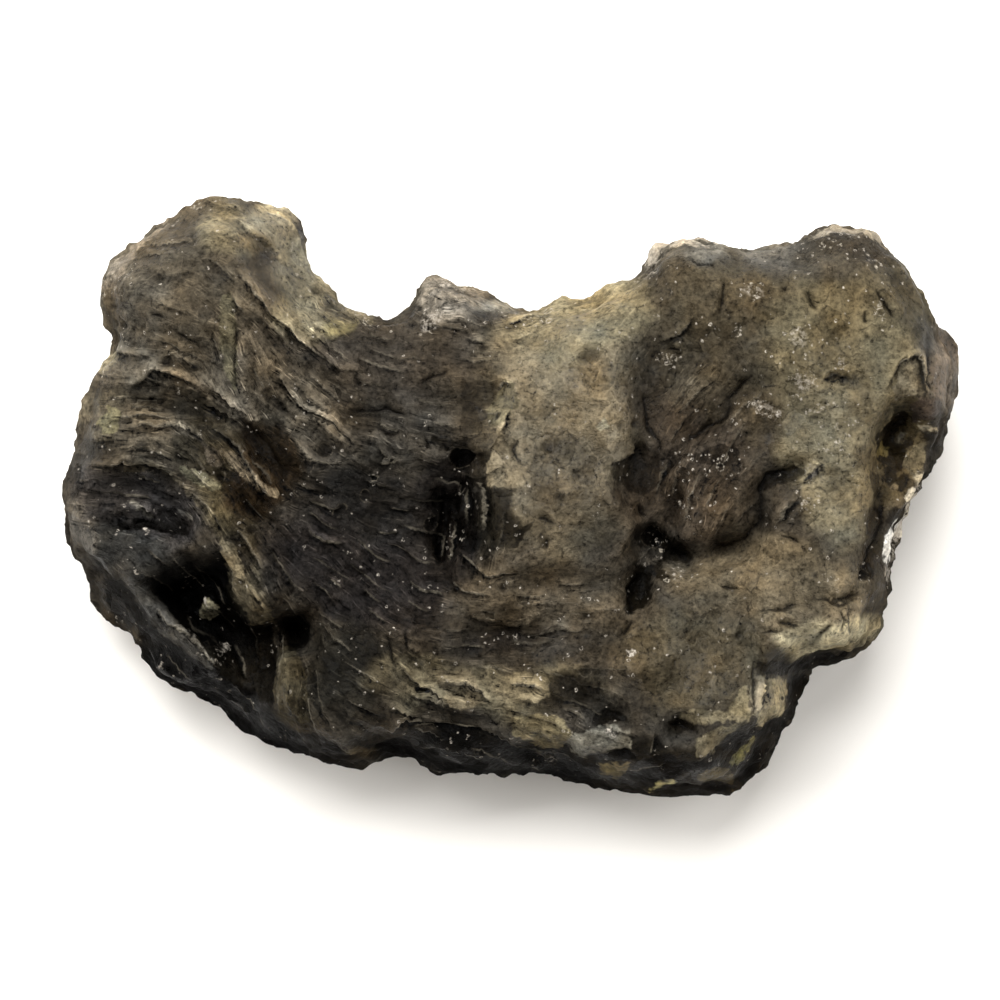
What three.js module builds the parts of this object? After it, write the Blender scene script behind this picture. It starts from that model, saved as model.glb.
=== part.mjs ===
// Raw moldavite: one natural lump of etched green-brown glass, lying on its flatter face.
// Millimetres. +X runs along its longest side and +Z is up. The origin is under the middle of its box.

import * as THREE from 'three';
import { ImprovedNoise } from 'three/addons/math/ImprovedNoise.js';

// Driving dimensions

const CROWN_HEIGHT = 8.1;      // usual height of the upper face
const SEAM_BACK = 4.5;         // height of the widest line round the stone, on its gentle far side
const SEAM_FRONT = 2.4;        // the same on its near side, which has steep walls
const SHOULDER_BACK = 3.4;     // how far in from the outline the upper face is reached
const SHOULDER_FRONT = 2.6;    // the same on the near side
const UPPER_FULLNESS = 2.1;    // 2 rounds the wall like a circle, more makes it squarer
const UNDERSIDE_TURN = 4.2;    // how far in from the outline the underside is reached
const UNDERSIDE_FULLNESS = 2.0;
const THINNEST = 1.6;          // least glass left between a hollow and the underside
const THINNEST_INSET = 1;      // how far in from the outline that least thickness is reached
const LEAST_CROWN = 0.4;       // least height of the upper face over the seam
const BACK_LINE = 6;           // the back values hold beyond this y, and the front values beyond the other
const FRONT_LINE = -6;

// Fineness of the surface: points round the outline, rows of points up each wall, and a scattered middle

const OUTLINE_COUNT = 180;
const UPPER_ROWS = [0.05, 0.2, 0.5];     // how far in from the outline each row of the upper wall lies
const LOWER_ROWS = [0.12, 0.5];          // the same under the seam
const UPPER_SPACING = 0.505;             // between neighbouring points of the upper face
const LOWER_SPACING = 0.79;              // between neighbouring points of the underside
const POINT_SCATTER = 0.22;              // share of the spacing by which a point leaves its even grid
const ROW_CLEARANCE = 0.62;              // share of the spacing kept between the last row and the middle
const NORMAL_SPREAD = 4;                 // how many points either side set a row's direction, per mm in
const SCATTER_SEEDS = [71, 83];          // for the x and the y of the scattered points
const REACH = 20;                        // half of a square that holds the whole stone
const FAR_AWAY = 1000;                   // corners of the first triangle, well outside the stone
const CURVE_STEPS = 20;                  // steps between two outline corners when its length is measured

// Outline seen from above, clockwise from the left shoulder

const LEFT_LOBE = [
  [-15.7, 9.5], [-15.2, 9.7], [-14.8, 10.0], [-14.6, 10.4], [-14.2, 10.8], [-13.4, 11.2],
  [-12.8, 11.4], [-12.3, 11.8], [-11.9, 11.9], [-11.0, 12.0], [-10.3, 12.1], [-10.0, 11.8],
  [-9.6, 11.6], [-9.1, 11.7], [-8.4, 11.4], [-8.1, 10.7], [-8.1, 9.5], [-7.6, 9.1],
  [-7.3, 8.5], [-7.1, 8.0],
];
const BAY = [
  [-6.6, 7.7], [-6.2, 7.3], [-5.7, 7.5], [-5.3, 7.15], [-4.7, 7.15], [-4.3, 7.5],
  [-4.0, 7.8], [-3.65, 7.85], [-3.6, 8.6], [-3.3, 8.7], [-2.6, 8.6], [-1.9, 8.55],
  [-1.3, 8.6], [-0.5, 8.0], [0.1, 7.7], [0.6, 7.4], [1.4, 7.7], [2.1, 8.0],
  [2.8, 7.95], [3.4, 8.2], [3.8, 8.5], [4.6, 8.4], [5.0, 8.9],
];
const RIGHT_LOBE = [
  [5.3, 9.8], [5.6, 10.2], [6.2, 10.25], [6.5, 10.15], [6.8, 10.35], [7.3, 10.5],
  [8.1, 10.3], [8.6, 9.9], [9.2, 9.9], [10.2, 10.05], [11.7, 10.3], [12.1, 10.6],
  [12.5, 10.85], [13.0, 10.9], [13.5, 10.65], [13.8, 10.7], [14.4, 10.5], [15.0, 10.05],
  [15.6, 9.75], [15.8, 9.2], [16.3, 8.55], [16.7, 7.95], [16.9, 7.15], [17.4, 6.7],
  [17.8, 6.1], [18.0, 5.2], [18.0, 4.3], [17.9, 3.6], [17.6, 2.75], [17.3, 2.0],
];
const RIGHT_SIDE = [
  [16.8, 1.15], [16.8, 0.45], [16.4, -0.1], [16.1, -0.7], [15.7, -1.25], [15.45, -1.9],
  [15.2, -2.75], [15.4, -3.25], [15.4, -3.8], [15.05, -4.3], [14.95, -4.9], [14.7, -5.6],
  [14.2, -6.1], [13.9, -6.6], [13.3, -6.8], [12.0, -6.85], [11.7, -7.3], [11.6, -8.1],
  [11.55, -8.7],
];
const FRONT_SIDE = [
  [10.9, -9.9], [10.4, -10.6], [9.8, -11.2], [9.3, -11.75], [8.5, -11.9], [7.8, -12.05],
  [7.0, -11.95], [6.1, -12.1], [5.5, -12.1], [5.05, -11.9], [4.4, -11.7], [3.3, -11.65],
  [2.8, -11.3], [2.0, -11.25], [1.25, -10.9], [0.8, -11.15], [0, -11.1], [-0.8, -11.3],
  [-1.5, -11.2], [-2.4, -11.3], [-3.2, -11.05], [-3.8, -10.6], [-4.8, -10.3], [-5.2, -10.45],
  [-5.5, -10.75], [-6.0, -10.9], [-6.8, -10.9], [-7.5, -10.7], [-8.4, -10.3], [-9.9, -9.7],
  [-10.8, -9.15], [-11.5, -8.8], [-12.2, -8.2], [-13.5, -7.8], [-14.1, -7.35],
];
const LEFT_SIDE = [
  [-14.6, -6.8], [-14.8, -6.05], [-15.2, -5.5], [-15.6, -5.1], [-16.0, -5.1], [-16.4, -4.7],
  [-16.7, -4.05], [-16.95, -3.3], [-17.5, -2.3], [-17.6, -1.85], [-17.95, -1.45], [-18.0, -0.9],
  [-17.8, -0.2], [-17.95, 0.6], [-17.8, 1.1], [-17.6, 1.65], [-17.4, 2.6], [-17.1, 3.3],
  [-16.85, 3.9], [-16.8, 4.6], [-16.55, 5.4], [-16.2, 5.75], [-15.85, 5.9], [-16.1, 7.0],
  [-16.1, 7.6], [-16.3, 8.1], [-16.1, 8.7], [-15.9, 9.15],
];
const OUTLINE = [...LEFT_LOBE, ...BAY, ...RIGHT_LOBE, ...RIGHT_SIDE, ...FRONT_SIDE, ...LEFT_SIDE];

// Patches of the upper face that stand higher or lower: lift inside the edge, soft over its border

const PATCHES = [
  {
    name: 'hump of the left lobe', lift: 0.5, soft: 1.0,
    edge: [
      [-15.6, 9.2], [-13.5, 10.8], [-11, 11.4], [-9.8, 10.2], [-9, 7.6], [-10, 4.4],
      [-12.6, 4.9], [-15.8, 5.9],
    ],
  },
  {
    name: 'thin clear tip of the left lobe', lift: -1.9, soft: 1.3,
    edge: [[-10.2, 12.4], [-7.4, 12], [-6.6, 8], [-8.6, 8], [-9.6, 9.2]],
  },
  {
    name: 'dish under the lobe', lift: -0.6, soft: 0.6,
    edge: [[-15.2, 4.4], [-14, 4.9], [-12.6, 4.4], [-11.4, 3.7], [-12.3, 3.1], [-14.8, 3.3]],
  },
  {
    name: 'dark bowl of the left side', lift: -1.3, soft: 0.6,
    edge: [
      [-16.8, 0.1], [-16.2, 0.6], [-15.2, 0.95], [-14.2, 0.8], [-13.2, 0.4], [-12.6, -0.4],
      [-12.5, -1.1], [-13.2, -1.5], [-16.3, -1.3], [-16.8, -0.8],
    ],
  },
  {
    name: 'sunken terrace at the front left', lift: -2.0, soft: 0.9,
    edge: [
      [-17.2, -2.8], [-14.3, -3.4], [-12.6, -2.7], [-11.2, -2.9], [-10.9, -4.1], [-10.2, -4.9],
      [-8, -4.7], [-7.9, -6.2], [-9.2, -6.4], [-9.4, -8.6], [-9.2, -11], [-17, -10],
    ],
  },
  {
    name: 'black hollow', lift: -1.7, soft: 0.6,
    edge: [
      [-14.3, -3.7], [-13, -3.3], [-12.5, -2.6], [-11.3, -2.9], [-11, -4], [-10.3, -4.8],
      [-8, -4.7], [-8, -6.2], [-9.3, -6.1], [-9.5, -7.2], [-11.2, -6.9], [-12.4, -5.1],
    ],
  },
  {
    name: 'floor of the black hollow near the front', lift: -0.4, soft: 0.5,
    edge: [[-11.6, -6.9], [-9.6, -7.1], [-9.5, -8.6], [-10.8, -8.2], [-12.6, -7.6]],
  },
  {
    name: 'upper pocket behind the slanting ridge', lift: -0.7, soft: 0.4,
    edge: [[-15.9, -3.3], [-15.0, -3.9], [-14.5, -4.6], [-15.3, -4.5], [-16.1, -4.0]],
  },
  {
    name: 'lower pocket behind the slanting ridge', lift: -0.9, soft: 0.5,
    edge: [[-14.8, -5.2], [-13.9, -5.2], [-12.2, -6.5], [-13.2, -6.9], [-14.4, -6.5]],
  },
  {
    name: 'basin of the middle', lift: -0.6, soft: 1.3,
    edge: [
      [-9.4, 3.4], [-6, 1.3], [-1.4, 0.8], [-1.3, -2.6], [-5.5, -5.5], [-8.6, -4],
      [-9.4, -1], [-10.6, 2.0],
    ],
  },
  {
    name: 'rough trench beside the plateau', lift: -0.9, soft: 0.4,
    edge: [[-3.0, 0.3], [-1.25, 0.6], [-1.2, -1.9], [-2.0, -2.1], [-2.6, -2.9], [-3.1, -2.6]],
  },
  {
    name: 'olive plateau', lift: 0.6, soft: 0.45,
    edge: [
      [-0.9, 3.2], [-0.3, 4.5], [0.6, 5.6], [2.5, 6.6], [4.8, 6.2], [4.9, 3], [4, 1.4],
      [4, 0.4], [4.9, -0.3], [5.1, -1.2], [4.7, -2.7], [0.2, -2.9], [-1, -2.4], [-1.2, 1.6],
    ],
  },
  {
    name: 'dark groove field right of the plateau', lift: -1.1, soft: 0.4,
    edge: [
      [4.9, 2.3], [6.3, 1.4], [7, -0.6], [6.2, -1.6], [7.2, -1.9], [8.6, -1.6], [9.6, -2.2],
      [8, -2.8], [5.7, -2.9], [5.5, -4.5], [4.6, -4.7], [4.7, -2.8], [5.1, -1.2], [4.1, 0.6],
    ],
  },
  {
    name: 'dip above the groove field', lift: -0.5, soft: 0.7,
    edge: [[5.2, 2.6], [5.2, 5.4], [6.2, 6.1], [8, 6], [9.4, 4.4], [8.2, 2.8], [6.6, 2.2]],
  },
  {
    name: 'right hollow', lift: -1.8, soft: 0.45,
    edge: [
      [14.4, -0.3], [14.1, 1.2], [14.5, 2.4], [15.4, 3.5], [16.9, 2.9], [17.1, 2.2],
      [16.2, 0.8], [15.2, 0.1],
    ],
  },
  {
    name: 'thin pale rim of the right lobe', lift: -1.4, soft: 0.9,
    edge: [[16.7, 7.2], [18.4, 6.4], [18.4, 3.4], [17.2, 3.4], [16.9, 5.2]],
  },
  {
    name: 'sunken notch of the middle', lift: -0.9, soft: 0.4,
    edge: [[-2.0, -5.1], [-1.0, -4.8], [1.3, -5.2], [1.2, -5.9], [-1.2, -6.2], [-2.0, -6.3]],
  },
  {
    name: 'dark flat between the rolled ledges', lift: -0.5, soft: 0.4,
    edge: [[1.6, -7.6], [3.2, -8], [3.2, -8.8], [1.4, -8.4]],
  },
  {
    name: 'gnawed corner of the lower lobe', lift: -0.9, soft: 0.4,
    edge: [[8.3, -9.7], [9.0, -9.2], [10.3, -9.2], [10.4, -10.2], [9.4, -11.2], [8.2, -10.6]],
  },
];

// Patches of the underside that stand clear of the surface the stone lies on

const UNDER_PATCHES = [
  {
    name: 'lifted end of the left lobe', lift: 1.7, soft: 3.0,
    edge: [[-20, 14], [-6, 14], [-7, 9], [-13.5, 5.5], [-20, 4]],
  },
  {
    name: 'lifted right end', lift: 1.4, soft: 2.6,
    edge: [[20, 13], [20, -7], [15, -7], [14.5, 2], [14.5, 8.5], [8, 13]],
  },
  {
    name: 'lifted front left', lift: 1.1, soft: 2.0,
    edge: [[-20, -1], [-14.5, -3], [-9.5, -8], [-8, -14], [-20, -14]],
  },
];

// Steps: the side on the left of the path stands higher by drop, and both sides even out over reach.
// Each step fades out over the first and last part of its path.

const STEP_ENDS = 0.2;
const STEPS = [
  {
    name: 'ledge under the left lobe', drop: 0.9, slope: 0.35, reach: 2.2,
    path: [[-11.0, 4.0], [-12.2, 4.8], [-13.4, 5.2], [-14.6, 5.6], [-16.2, 5.9]],
  },
  {
    name: 'fold edge of the left arcs', drop: 0.5, slope: 0.35, reach: 1.6,
    path: [[-10.6, 1.4], [-11.4, 1.9], [-12.4, 2.4], [-13.4, 2.8], [-15.2, 2.9], [-16.8, 3.2]],
  },
  {
    name: 'pale fold beside the black hollow', drop: 0.7, slope: 0.35, reach: 1.8,
    path: [[-9.4, -5.0], [-10.3, -4.7], [-11, -3.9], [-11.2, -2.8], [-11.8, -1.8]],
  },
  {
    name: 'scarp of the middle', drop: 0.4, slope: 0.3, reach: 2.0,
    path: [[-4.2, 1.2], [-5.4, 1.9], [-6.6, 2.5], [-7.8, 3.4], [-8.8, 4.2]],
  },
  {
    name: 'second scarp of the middle', drop: 0.4, slope: 0.3, reach: 1.8,
    path: [[-6.4, 1.2], [-7.6, 1.4], [-8.2, 2.0], [-9.2, 3.0], [-10.4, 3.0]],
  },
  {
    name: 'edge of the block over the lower lobe', drop: 1.9, slope: 0.35, reach: 3.4,
    path: [[9.2, -6.3], [10.4, -6.35], [11.8, -6.3], [12.8, -6.2], [13.6, -6.6]],
  },
  {
    name: 'rolled ledge left of the middle', drop: 0.6, slope: 0.3, reach: 1.6,
    path: [[-4.4, -7.9], [-3.4, -7.6], [-2.6, -8.2], [-1.7, -8.4], [-0.8, -8.2]],
  },
  {
    name: 'rolled ledge right of the middle', drop: 0.6, slope: 0.35, reach: 1.6,
    path: [[0.2, -8.0], [1.4, -8.4], [2.4, -9.2]],
  },
  {
    name: 'crescent of the right lobe', drop: 0.4, slope: 0.3, reach: 1.4,
    path: [[12.2, 4.5], [12.6, 4.9], [13.1, 4.95], [13.6, 4.6]],
  },
  {
    name: 'lip of the leaf shaped scar', drop: 0.4, slope: 0.3, reach: 1.2,
    path: [[14.7, 4.2], [15.2, 5.1], [15.9, 5.7], [16.3, 5.0], [16.5, 4.1]],
  },
];

// Ridges and grooves along a path: a groove has a negative rise

const RIDGES = [
  {
    name: 'crest of the left lobe', rise: 0.45, width: 0.9,
    path: [[-10.6, 9.2], [-10.1, 8.1], [-9.3, 7.1], [-8.2, 6.1], [-7.0, 5.2]],
  },
  {
    name: 'flow ridge from the lobe', rise: 0.35, width: 0.8,
    path: [[-9.3, 5.2], [-8.6, 4.0], [-7.4, 3.0], [-6.0, 2.1], [-4.4, 1.4]],
  },
  {
    name: 'bright ridge of the middle', rise: 0.35, width: 0.7,
    path: [[-8.7, 2.5], [-8.0, 1.6], [-7.0, 1.35], [-5.8, 1.2]],
  },
  {
    name: 'edge ridge over the dark pool', rise: 0.4, width: 0.7,
    path: [[-11.0, 2.4], [-10.4, 1.3], [-9.7, 0.4], [-8.8, -0.2], [-6.8, -0.6]],
  },
  {
    name: 'arc ridge of the left side', rise: 0.3, width: 0.6,
    path: [[-16.4, 2.1], [-15, 2.3], [-13.8, 2.2], [-13, 1.9], [-12.2, 1.3], [-11.6, 0.5]],
  },
  {
    name: 'pale strip beside the upright crack', rise: 0.5, width: 0.6,
    path: [[-9.0, -5.2], [-8.9, -6.4], [-9.0, -7.6], [-9.0, -8.7]],
  },
  {
    name: 'lower flow ridge', rise: 0.35, width: 0.7,
    path: [[-9.2, -0.4], [-8.2, -1.3], [-7.2, -1.9], [-5.8, -2.3]],
  },
  {
    name: 'slanting grey ridge', rise: 1.1, width: 0.95,
    path: [[-15.4, -3.4], [-14.3, -4.6], [-13.2, -5.4], [-12.3, -6.1], [-11.6, -7.1]],
  },
  {
    name: 'crest of the far left edge', rise: 0.5, width: 0.6,
    path: [[-17.0, -0.8], [-16.5, -1.6], [-16.3, -2.6], [-15.9, -3.2]],
  },
  {
    name: 'lip of the dark bowl', rise: 0.4, width: 0.6,
    path: [[-16.6, 1.0], [-15.1, 1.4], [-13.9, 1.1], [-12.8, 0.4], [-12.1, -0.8]],
  },
  {
    name: 'slit of the dark bowl', rise: -0.9, width: 0.5,
    path: [[-15.6, -1.0], [-14.4, -1.05], [-13.4, -1.15], [-12.7, -1.4]],
  },
  {
    name: 'upright crack at the black hollow', rise: -0.5, width: 0.5,
    path: [[-9.4, -6.4], [-9.5, -7.4], [-9.6, -8.6]],
  },
  {
    name: 'crescent groove of the right side', rise: -1.0, width: 0.7,
    path: [[8.4, -2.0], [9.3, -1.8], [9.85, -1.0], [9.8, 0.1], [10.2, 0.85], [11.3, 1.0]],
  },
  {
    name: 'groove behind the right crust', rise: -0.9, width: 0.65,
    path: [[14.5, -0.2], [14.5, -1.4], [14.3, -2.4], [13.9, -3.3], [13.3, -4.0]],
  },
  {
    name: 'crust of the right side', rise: 0.5, width: 0.7,
    path: [[16.2, 0.6], [15.8, -0.4], [15.2, -1.2], [14.9, -2.2]],
  },
  {
    name: 'crack over the pale blocks', rise: -0.4, width: 0.5,
    path: [[10.9, -4.5], [12.4, -3.95], [13.0, -4.1], [14.0, -3.9]],
  },
  {
    name: 'rib of the lower lobe', rise: 0.35, width: 0.5,
    path: [[9.9, -6.9], [9.9, -7.8], [9.6, -8.8]],
  },
  {
    name: 'gully of the right field', rise: -0.5, width: 0.7,
    path: [[9.9, 4.4], [8.9, 3.8], [8.4, 3.0], [7.0, 2.3], [6.2, 1.6]],
  },
  {
    name: 'gully towards the lower lobe', rise: -0.5, width: 0.6,
    path: [[4.5, -4.6], [4.1, -5.6], [3.7, -6.8], [3.4, -7.8]],
  },
];

// Pits, round or drawn out, turned anticlockwise in degrees; a knob has a negative depth

const PITS = [
  { name: 'dimple of the lobe', at: [-9.9, 9.6], size: [0.9, 0.7], turn: 40, depth: 0.6 },
  { name: 'knob of the lobe', at: [-9.35, 9.1], size: [0.6, 0.8], turn: 15, depth: -0.3 },
  { name: 'pebble of the black hollow', at: [-12.0, -4.2], size: [0.7, 0.8], turn: 0, depth: -1.6 },
  { name: 'pool of the middle', at: [-9.6, -0.7], size: [1.1, 0.9], turn: -30, depth: 0.5 },
  { name: 'round pit by the scarp', at: [-1.9, 1.45], size: [0.75, 0.7], turn: 0, depth: 0.9 },
  { name: 'deep hole of the groove field', at: [5.6, -1.7], size: [0.7, 0.6], turn: 0, depth: 0.9 },
  { name: 'arched hole of the groove field', at: [6.6, -2.4], size: [0.8, 0.6], turn: -10, depth: 0.8 },
  { name: 'long hole under the groove field', at: [5.0, -3.7], size: [0.5, 1.1], turn: -8, depth: 0.8 },
  { name: 'deep pit of the right hollow', at: [15.1, 2.3], size: [0.6, 1.0], turn: -25, depth: 1.3 },
  { name: 'upper pit of the right hollow', at: [15.5, 3.3], size: [0.5, 0.7], turn: -15, depth: 1.0 },
  { name: 'black hole of the lower lobe', at: [4.0, -8.6], size: [0.9, 0.5], turn: -15, depth: 1.1 },
  { name: 'black wedge of the lower lobe', at: [6.7, -9.0], size: [0.9, 0.5], turn: -5, depth: 1.0 },
  { name: 'upper notch of the lower left', at: [-8.4, -5.4], size: [0.7, 0.9], turn: 0, depth: 0.8 },
];

// Flow of the glass seen on the upper face: place, direction in degrees, and how strongly it is cut

const FLOW_MARKS = [
  [-13.2, 9.8, 15, 0.3], [-10.4, 8.6, -50, 0.7], [-8.6, 6.3, -45, 1.0], [-7.0, 5.0, -35, 0.9],
  [-10.8, 5.6, -70, 0.8], [-13.4, 6.6, -20, 0.5], [-12.2, 2.2, -38, 1.0], [-11.4, 0.8, -52, 1.0],
  [-14.2, 1.0, -14, 0.9], [-16.2, 2.2, 5, 0.7], [-14.0, 3.8, 0, 0.5], [-9.6, 1.2, -52, 1.0],
  [-7.6, 3.2, -38, 1.0], [-5.4, 2.0, -26, 1.0], [-3.6, 1.2, -12, 0.9], [-3.0, 3.6, -8, 0.8],
  [-5.2, 4.6, -12, 0.7], [-6.6, 0.4, -14, 0.8], [-3.8, -0.6, -10, 0.7], [-7.4, -1.6, -32, 0.9],
  [-6.0, -3.4, -40, 0.9], [-10.4, -2.6, -62, 0.8], [-9.0, -7.0, -86, 0.8], [-5.2, -6.2, -30, 0.7],
  [-3.0, -7.8, -15, 0.8], [-0.8, -5.0, 0, 0.6], [2.2, -4.4, 8, 0.5], [1.4, 1.2, 40, 0.25],
  [2.4, 4.6, 20, 0.25], [-2.0, -1.2, 82, 0.9], [5.0, 1.0, 62, 0.8], [6.8, 0.4, 72, 0.8],
  [6.8, 4.2, 48, 0.6], [6.6, 8.2, 60, 0.3], [10.6, 7.6, 62, 0.4], [12.2, 2.8, 20, 0.4],
  [11.6, -1.2, 30, 0.3], [15.4, 1.4, 80, 0.8], [15.2, 7.0, 60, 0.4], [13.0, -5.2, 76, 0.6],
  [9.6, -8.0, 88, 0.7], [8.8, -10.4, 35, 0.7], [5.6, -11.2, 4, 0.7], [2.6, -9.2, -25, 0.6],
  [-12.2, -7.8, -32, 0.6], [-13.6, -5.2, -45, 0.5],
];
const FLOW_BLUR = 0.8;         // square mm; keeps one mark from ruling alone right beside it

// Scooping over the whole stone, from slow etching in the ground. Each layer is its own slice of the noise.

const FLOW_SCOOPS = { cell: 2.1, stretch: 3.2, depth: 0.55, seed: 53 };
const WIDE_SCOOPS = { cell: 4.2, depth: 0.4, seed: 11 };
const SMALL_SCOOPS = { cell: 1.9, depth: 0.12, seed: 29 };
const UNDER_SCOOPS = { cell: 3.4, depth: 1.1, seed: 47 };
const SCOOP_REACH = 0.75;
const SWELL = { length: 7.5, height: 0.55, layer: 0.5 };
const UNDER_SWELL = { length: 7.5, height: 0.55, layer: 9.5 };
const SEAM_WANDER = { length: 4.4, height: 1.1, layer: 3.3 };
const WALL_SWELL = { length: 2.3, height: 1, layer: 21.5 };
const WALL_SCOOPS = { depth: 0.75, share: 0.15 };
const EVENING = 0.2;           // heights are the mean of places this far apart, so no cliff is ragged
const REST_CLIP = 0.52;        // how much of the underside's lowest relief is worn flat

// Numbers from places: the same place gives the same number each time

const noise = new ImprovedNoise();

const PRIMES = [374761393, 668265263, 2246822519, 3266489917];
const FIRST_CELL = 4096;
const WORD = 2 ** 32;

function scatter(column, row, seed) {
  let value = Math.imul(column + FIRST_CELL, PRIMES[0]) ^ Math.imul(row + FIRST_CELL, PRIMES[1]);
  value = Math.imul(value ^ Math.imul(seed, PRIMES[2]), PRIMES[3]);
  value = Math.imul(value ^ (value >>> 15), PRIMES[2]);
  return ((value ^ (value >>> 13)) >>> 0) / WORD;
}

function blend(low, high, value) {
  return low + (high - low) * value;
}

function softStep(low, high, value) {
  const share = THREE.MathUtils.clamp((value - low) / (high - low), 0, 1);
  return share * share * (3 - 2 * share);
}

// Distance from a place to a path, which side of it the place is on, and how far along

function nearestOnPath(x, y, path, closed) {
  const count = closed ? path.length : path.length - 1;
  const best = { distance: Infinity, side: 1, along: 0 };
  for (let index = 0; index < count; index++) {
    const [ax, ay] = path[index];
    const [bx, by] = path[(index + 1) % path.length];
    const alongX = bx - ax;
    const alongY = by - ay;
    const reached = ((x - ax) * alongX + (y - ay) * alongY) / (alongX ** 2 + alongY ** 2);
    const share = THREE.MathUtils.clamp(reached, 0, 1);
    const distance = Math.hypot(x - ax - alongX * share, y - ay - alongY * share);
    if (distance < best.distance) {
      best.distance = distance;
      best.side = Math.sign(alongX * (y - ay) - alongY * (x - ax)) || 1;
      best.along = (index + share) / count;
    }
  }
  return best;
}

function isInside(x, y, edge) {
  let inside = false;
  for (let index = 0; index < edge.length; index++) {
    const [ax, ay] = edge[index];
    const [bx, by] = edge[(index + 1) % edge.length];
    const crosses = (ay > y) !== (by > y);
    if (crosses && x < ax + ((bx - ax) * (y - ay)) / (by - ay)) {
      inside = !inside;
    }
  }
  return inside;
}

// What each kind of form adds to the height at a place

function patchHeight(x, y, patch) {
  const side = isInside(x, y, patch.edge) ? 1 : -1;
  const depth = side * nearestOnPath(x, y, patch.edge, true).distance;
  return patch.lift * softStep(-patch.soft, patch.soft, depth);
}

function endTaper(along) {
  return softStep(0, STEP_ENDS, along) * softStep(1, 1 - STEP_ENDS, along);
}

function stepHeight(x, y, step) {
  const near = nearestOnPath(x, y, step.path, false);
  if (near.distance > step.reach) {
    return 0;
  }
  const fade = 1 - softStep(0, step.reach, near.distance);
  const rise = 1 - Math.exp(-near.distance / step.slope);
  return 0.5 * step.drop * near.side * rise * fade * endTaper(near.along);
}

function ridgeHeight(x, y, ridge) {
  const near = nearestOnPath(x, y, ridge.path, false);
  const share = Math.min(1, near.distance / ridge.width);
  return ridge.rise * (1 - share * share) ** 2;
}

function pitHeight(x, y, pit) {
  const turn = THREE.MathUtils.degToRad(pit.turn);
  const dx = x - pit.at[0];
  const dy = y - pit.at[1];
  const across = (dx * Math.cos(turn) + dy * Math.sin(turn)) / pit.size[0];
  const along = (dy * Math.cos(turn) - dx * Math.sin(turn)) / pit.size[1];
  const share = Math.min(1, across * across + along * along);
  return -pit.depth * (1 - share);
}

function scoopHeight(x, y, scoops) {
  const column = Math.floor(x / scoops.cell);
  const row = Math.floor(y / scoops.cell);
  let nearest = Infinity;
  for (let step = 0; step < 9; step++) {
    const cellX = column + (step % 3) - 1;
    const cellY = row + Math.floor(step / 3) - 1;
    const centreX = (cellX + scatter(cellX, cellY, scoops.seed)) * scoops.cell;
    const centreY = (cellY + scatter(cellX, cellY, scoops.seed + 1)) * scoops.cell;
    nearest = Math.min(nearest, Math.hypot(x - centreX, y - centreY));
  }
  return scoops.depth * (Math.min(1, (nearest / (SCOOP_REACH * scoops.cell)) ** 2) - 0.5);
}

function swellHeight(x, y, swell) {
  return swell.height * noise.noise(x / swell.length, y / swell.length, swell.layer);
}

// The mean of the flow marks near a place; a direction and its opposite count as the same

function flowAt(x, y) {
  let eastward = 0;
  let northward = 0;
  let strengths = 0;
  let weights = 0;
  for (const [markX, markY, degrees, strength] of FLOW_MARKS) {
    const weight = 1 / ((x - markX) ** 2 + (y - markY) ** 2 + FLOW_BLUR) ** 2;
    const doubled = 2 * THREE.MathUtils.degToRad(degrees);
    eastward += weight * Math.cos(doubled);
    northward += weight * Math.sin(doubled);
    strengths += weight * strength;
    weights += weight;
  }
  return { turn: Math.atan2(northward, eastward) / 2, strength: strengths / weights };
}

// Long bowls that lie along the flow, each with its own direction

const flowBowls = new Map();

function flowBowl(cellX, cellY) {
  const key = `${cellX},${cellY}`;
  if (!flowBowls.has(key)) {
    const x = (cellX + scatter(cellX, cellY, FLOW_SCOOPS.seed)) * FLOW_SCOOPS.cell;
    const y = (cellY + scatter(cellX, cellY, FLOW_SCOOPS.seed + 1)) * FLOW_SCOOPS.cell;
    const { turn } = flowAt(x, y);
    flowBowls.set(key, { x, y, east: Math.cos(turn), north: Math.sin(turn) });
  }
  return flowBowls.get(key);
}

function flowScoopHeight(x, y) {
  const { cell, stretch, depth } = FLOW_SCOOPS;
  const window = Math.ceil(SCOOP_REACH * Math.sqrt(stretch));
  const reachAlong = SCOOP_REACH * cell * Math.sqrt(stretch);
  const reachAcross = (SCOOP_REACH * cell) / Math.sqrt(stretch);
  const column = Math.floor(x / cell);
  const row = Math.floor(y / cell);
  let nearest = 1;
  for (let cellX = column - window; cellX <= column + window; cellX++) {
    for (let cellY = row - window; cellY <= row + window; cellY++) {
      const bowl = flowBowl(cellX, cellY);
      const along = ((x - bowl.x) * bowl.east + (y - bowl.y) * bowl.north) / reachAlong;
      const across = ((y - bowl.y) * bowl.east - (x - bowl.x) * bowl.north) / reachAcross;
      nearest = Math.min(nearest, along * along + across * across);
    }
  }
  return flowAt(x, y).strength * depth * (nearest - 0.5);
}

function sumOver(list, heightOf, x, y) {
  return list.reduce((total, form) => total + heightOf(x, y, form), 0);
}

// The two faces and the seam between them

function dome(share, fullness) {
  const left = 1 - Math.min(1, share);
  return (1 - left ** fullness) ** (1 / fullness);
}

function nearness(y) {
  return softStep(BACK_LINE, FRONT_LINE, y);
}

function seamHeight(x, y) {
  return blend(SEAM_BACK, SEAM_FRONT, nearness(y)) + swellHeight(x, y, SEAM_WANDER);
}

function crownHeight(x, y) {
  const forms = sumOver(PATCHES, patchHeight, x, y) + sumOver(STEPS, stepHeight, x, y)
    + sumOver(RIDGES, ridgeHeight, x, y) + sumOver(PITS, pitHeight, x, y);
  const etching = scoopHeight(x, y, WIDE_SCOOPS) + scoopHeight(x, y, SMALL_SCOOPS)
    + flowScoopHeight(x, y) + swellHeight(x, y, SWELL);
  return CROWN_HEIGHT + forms + etching;
}

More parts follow.
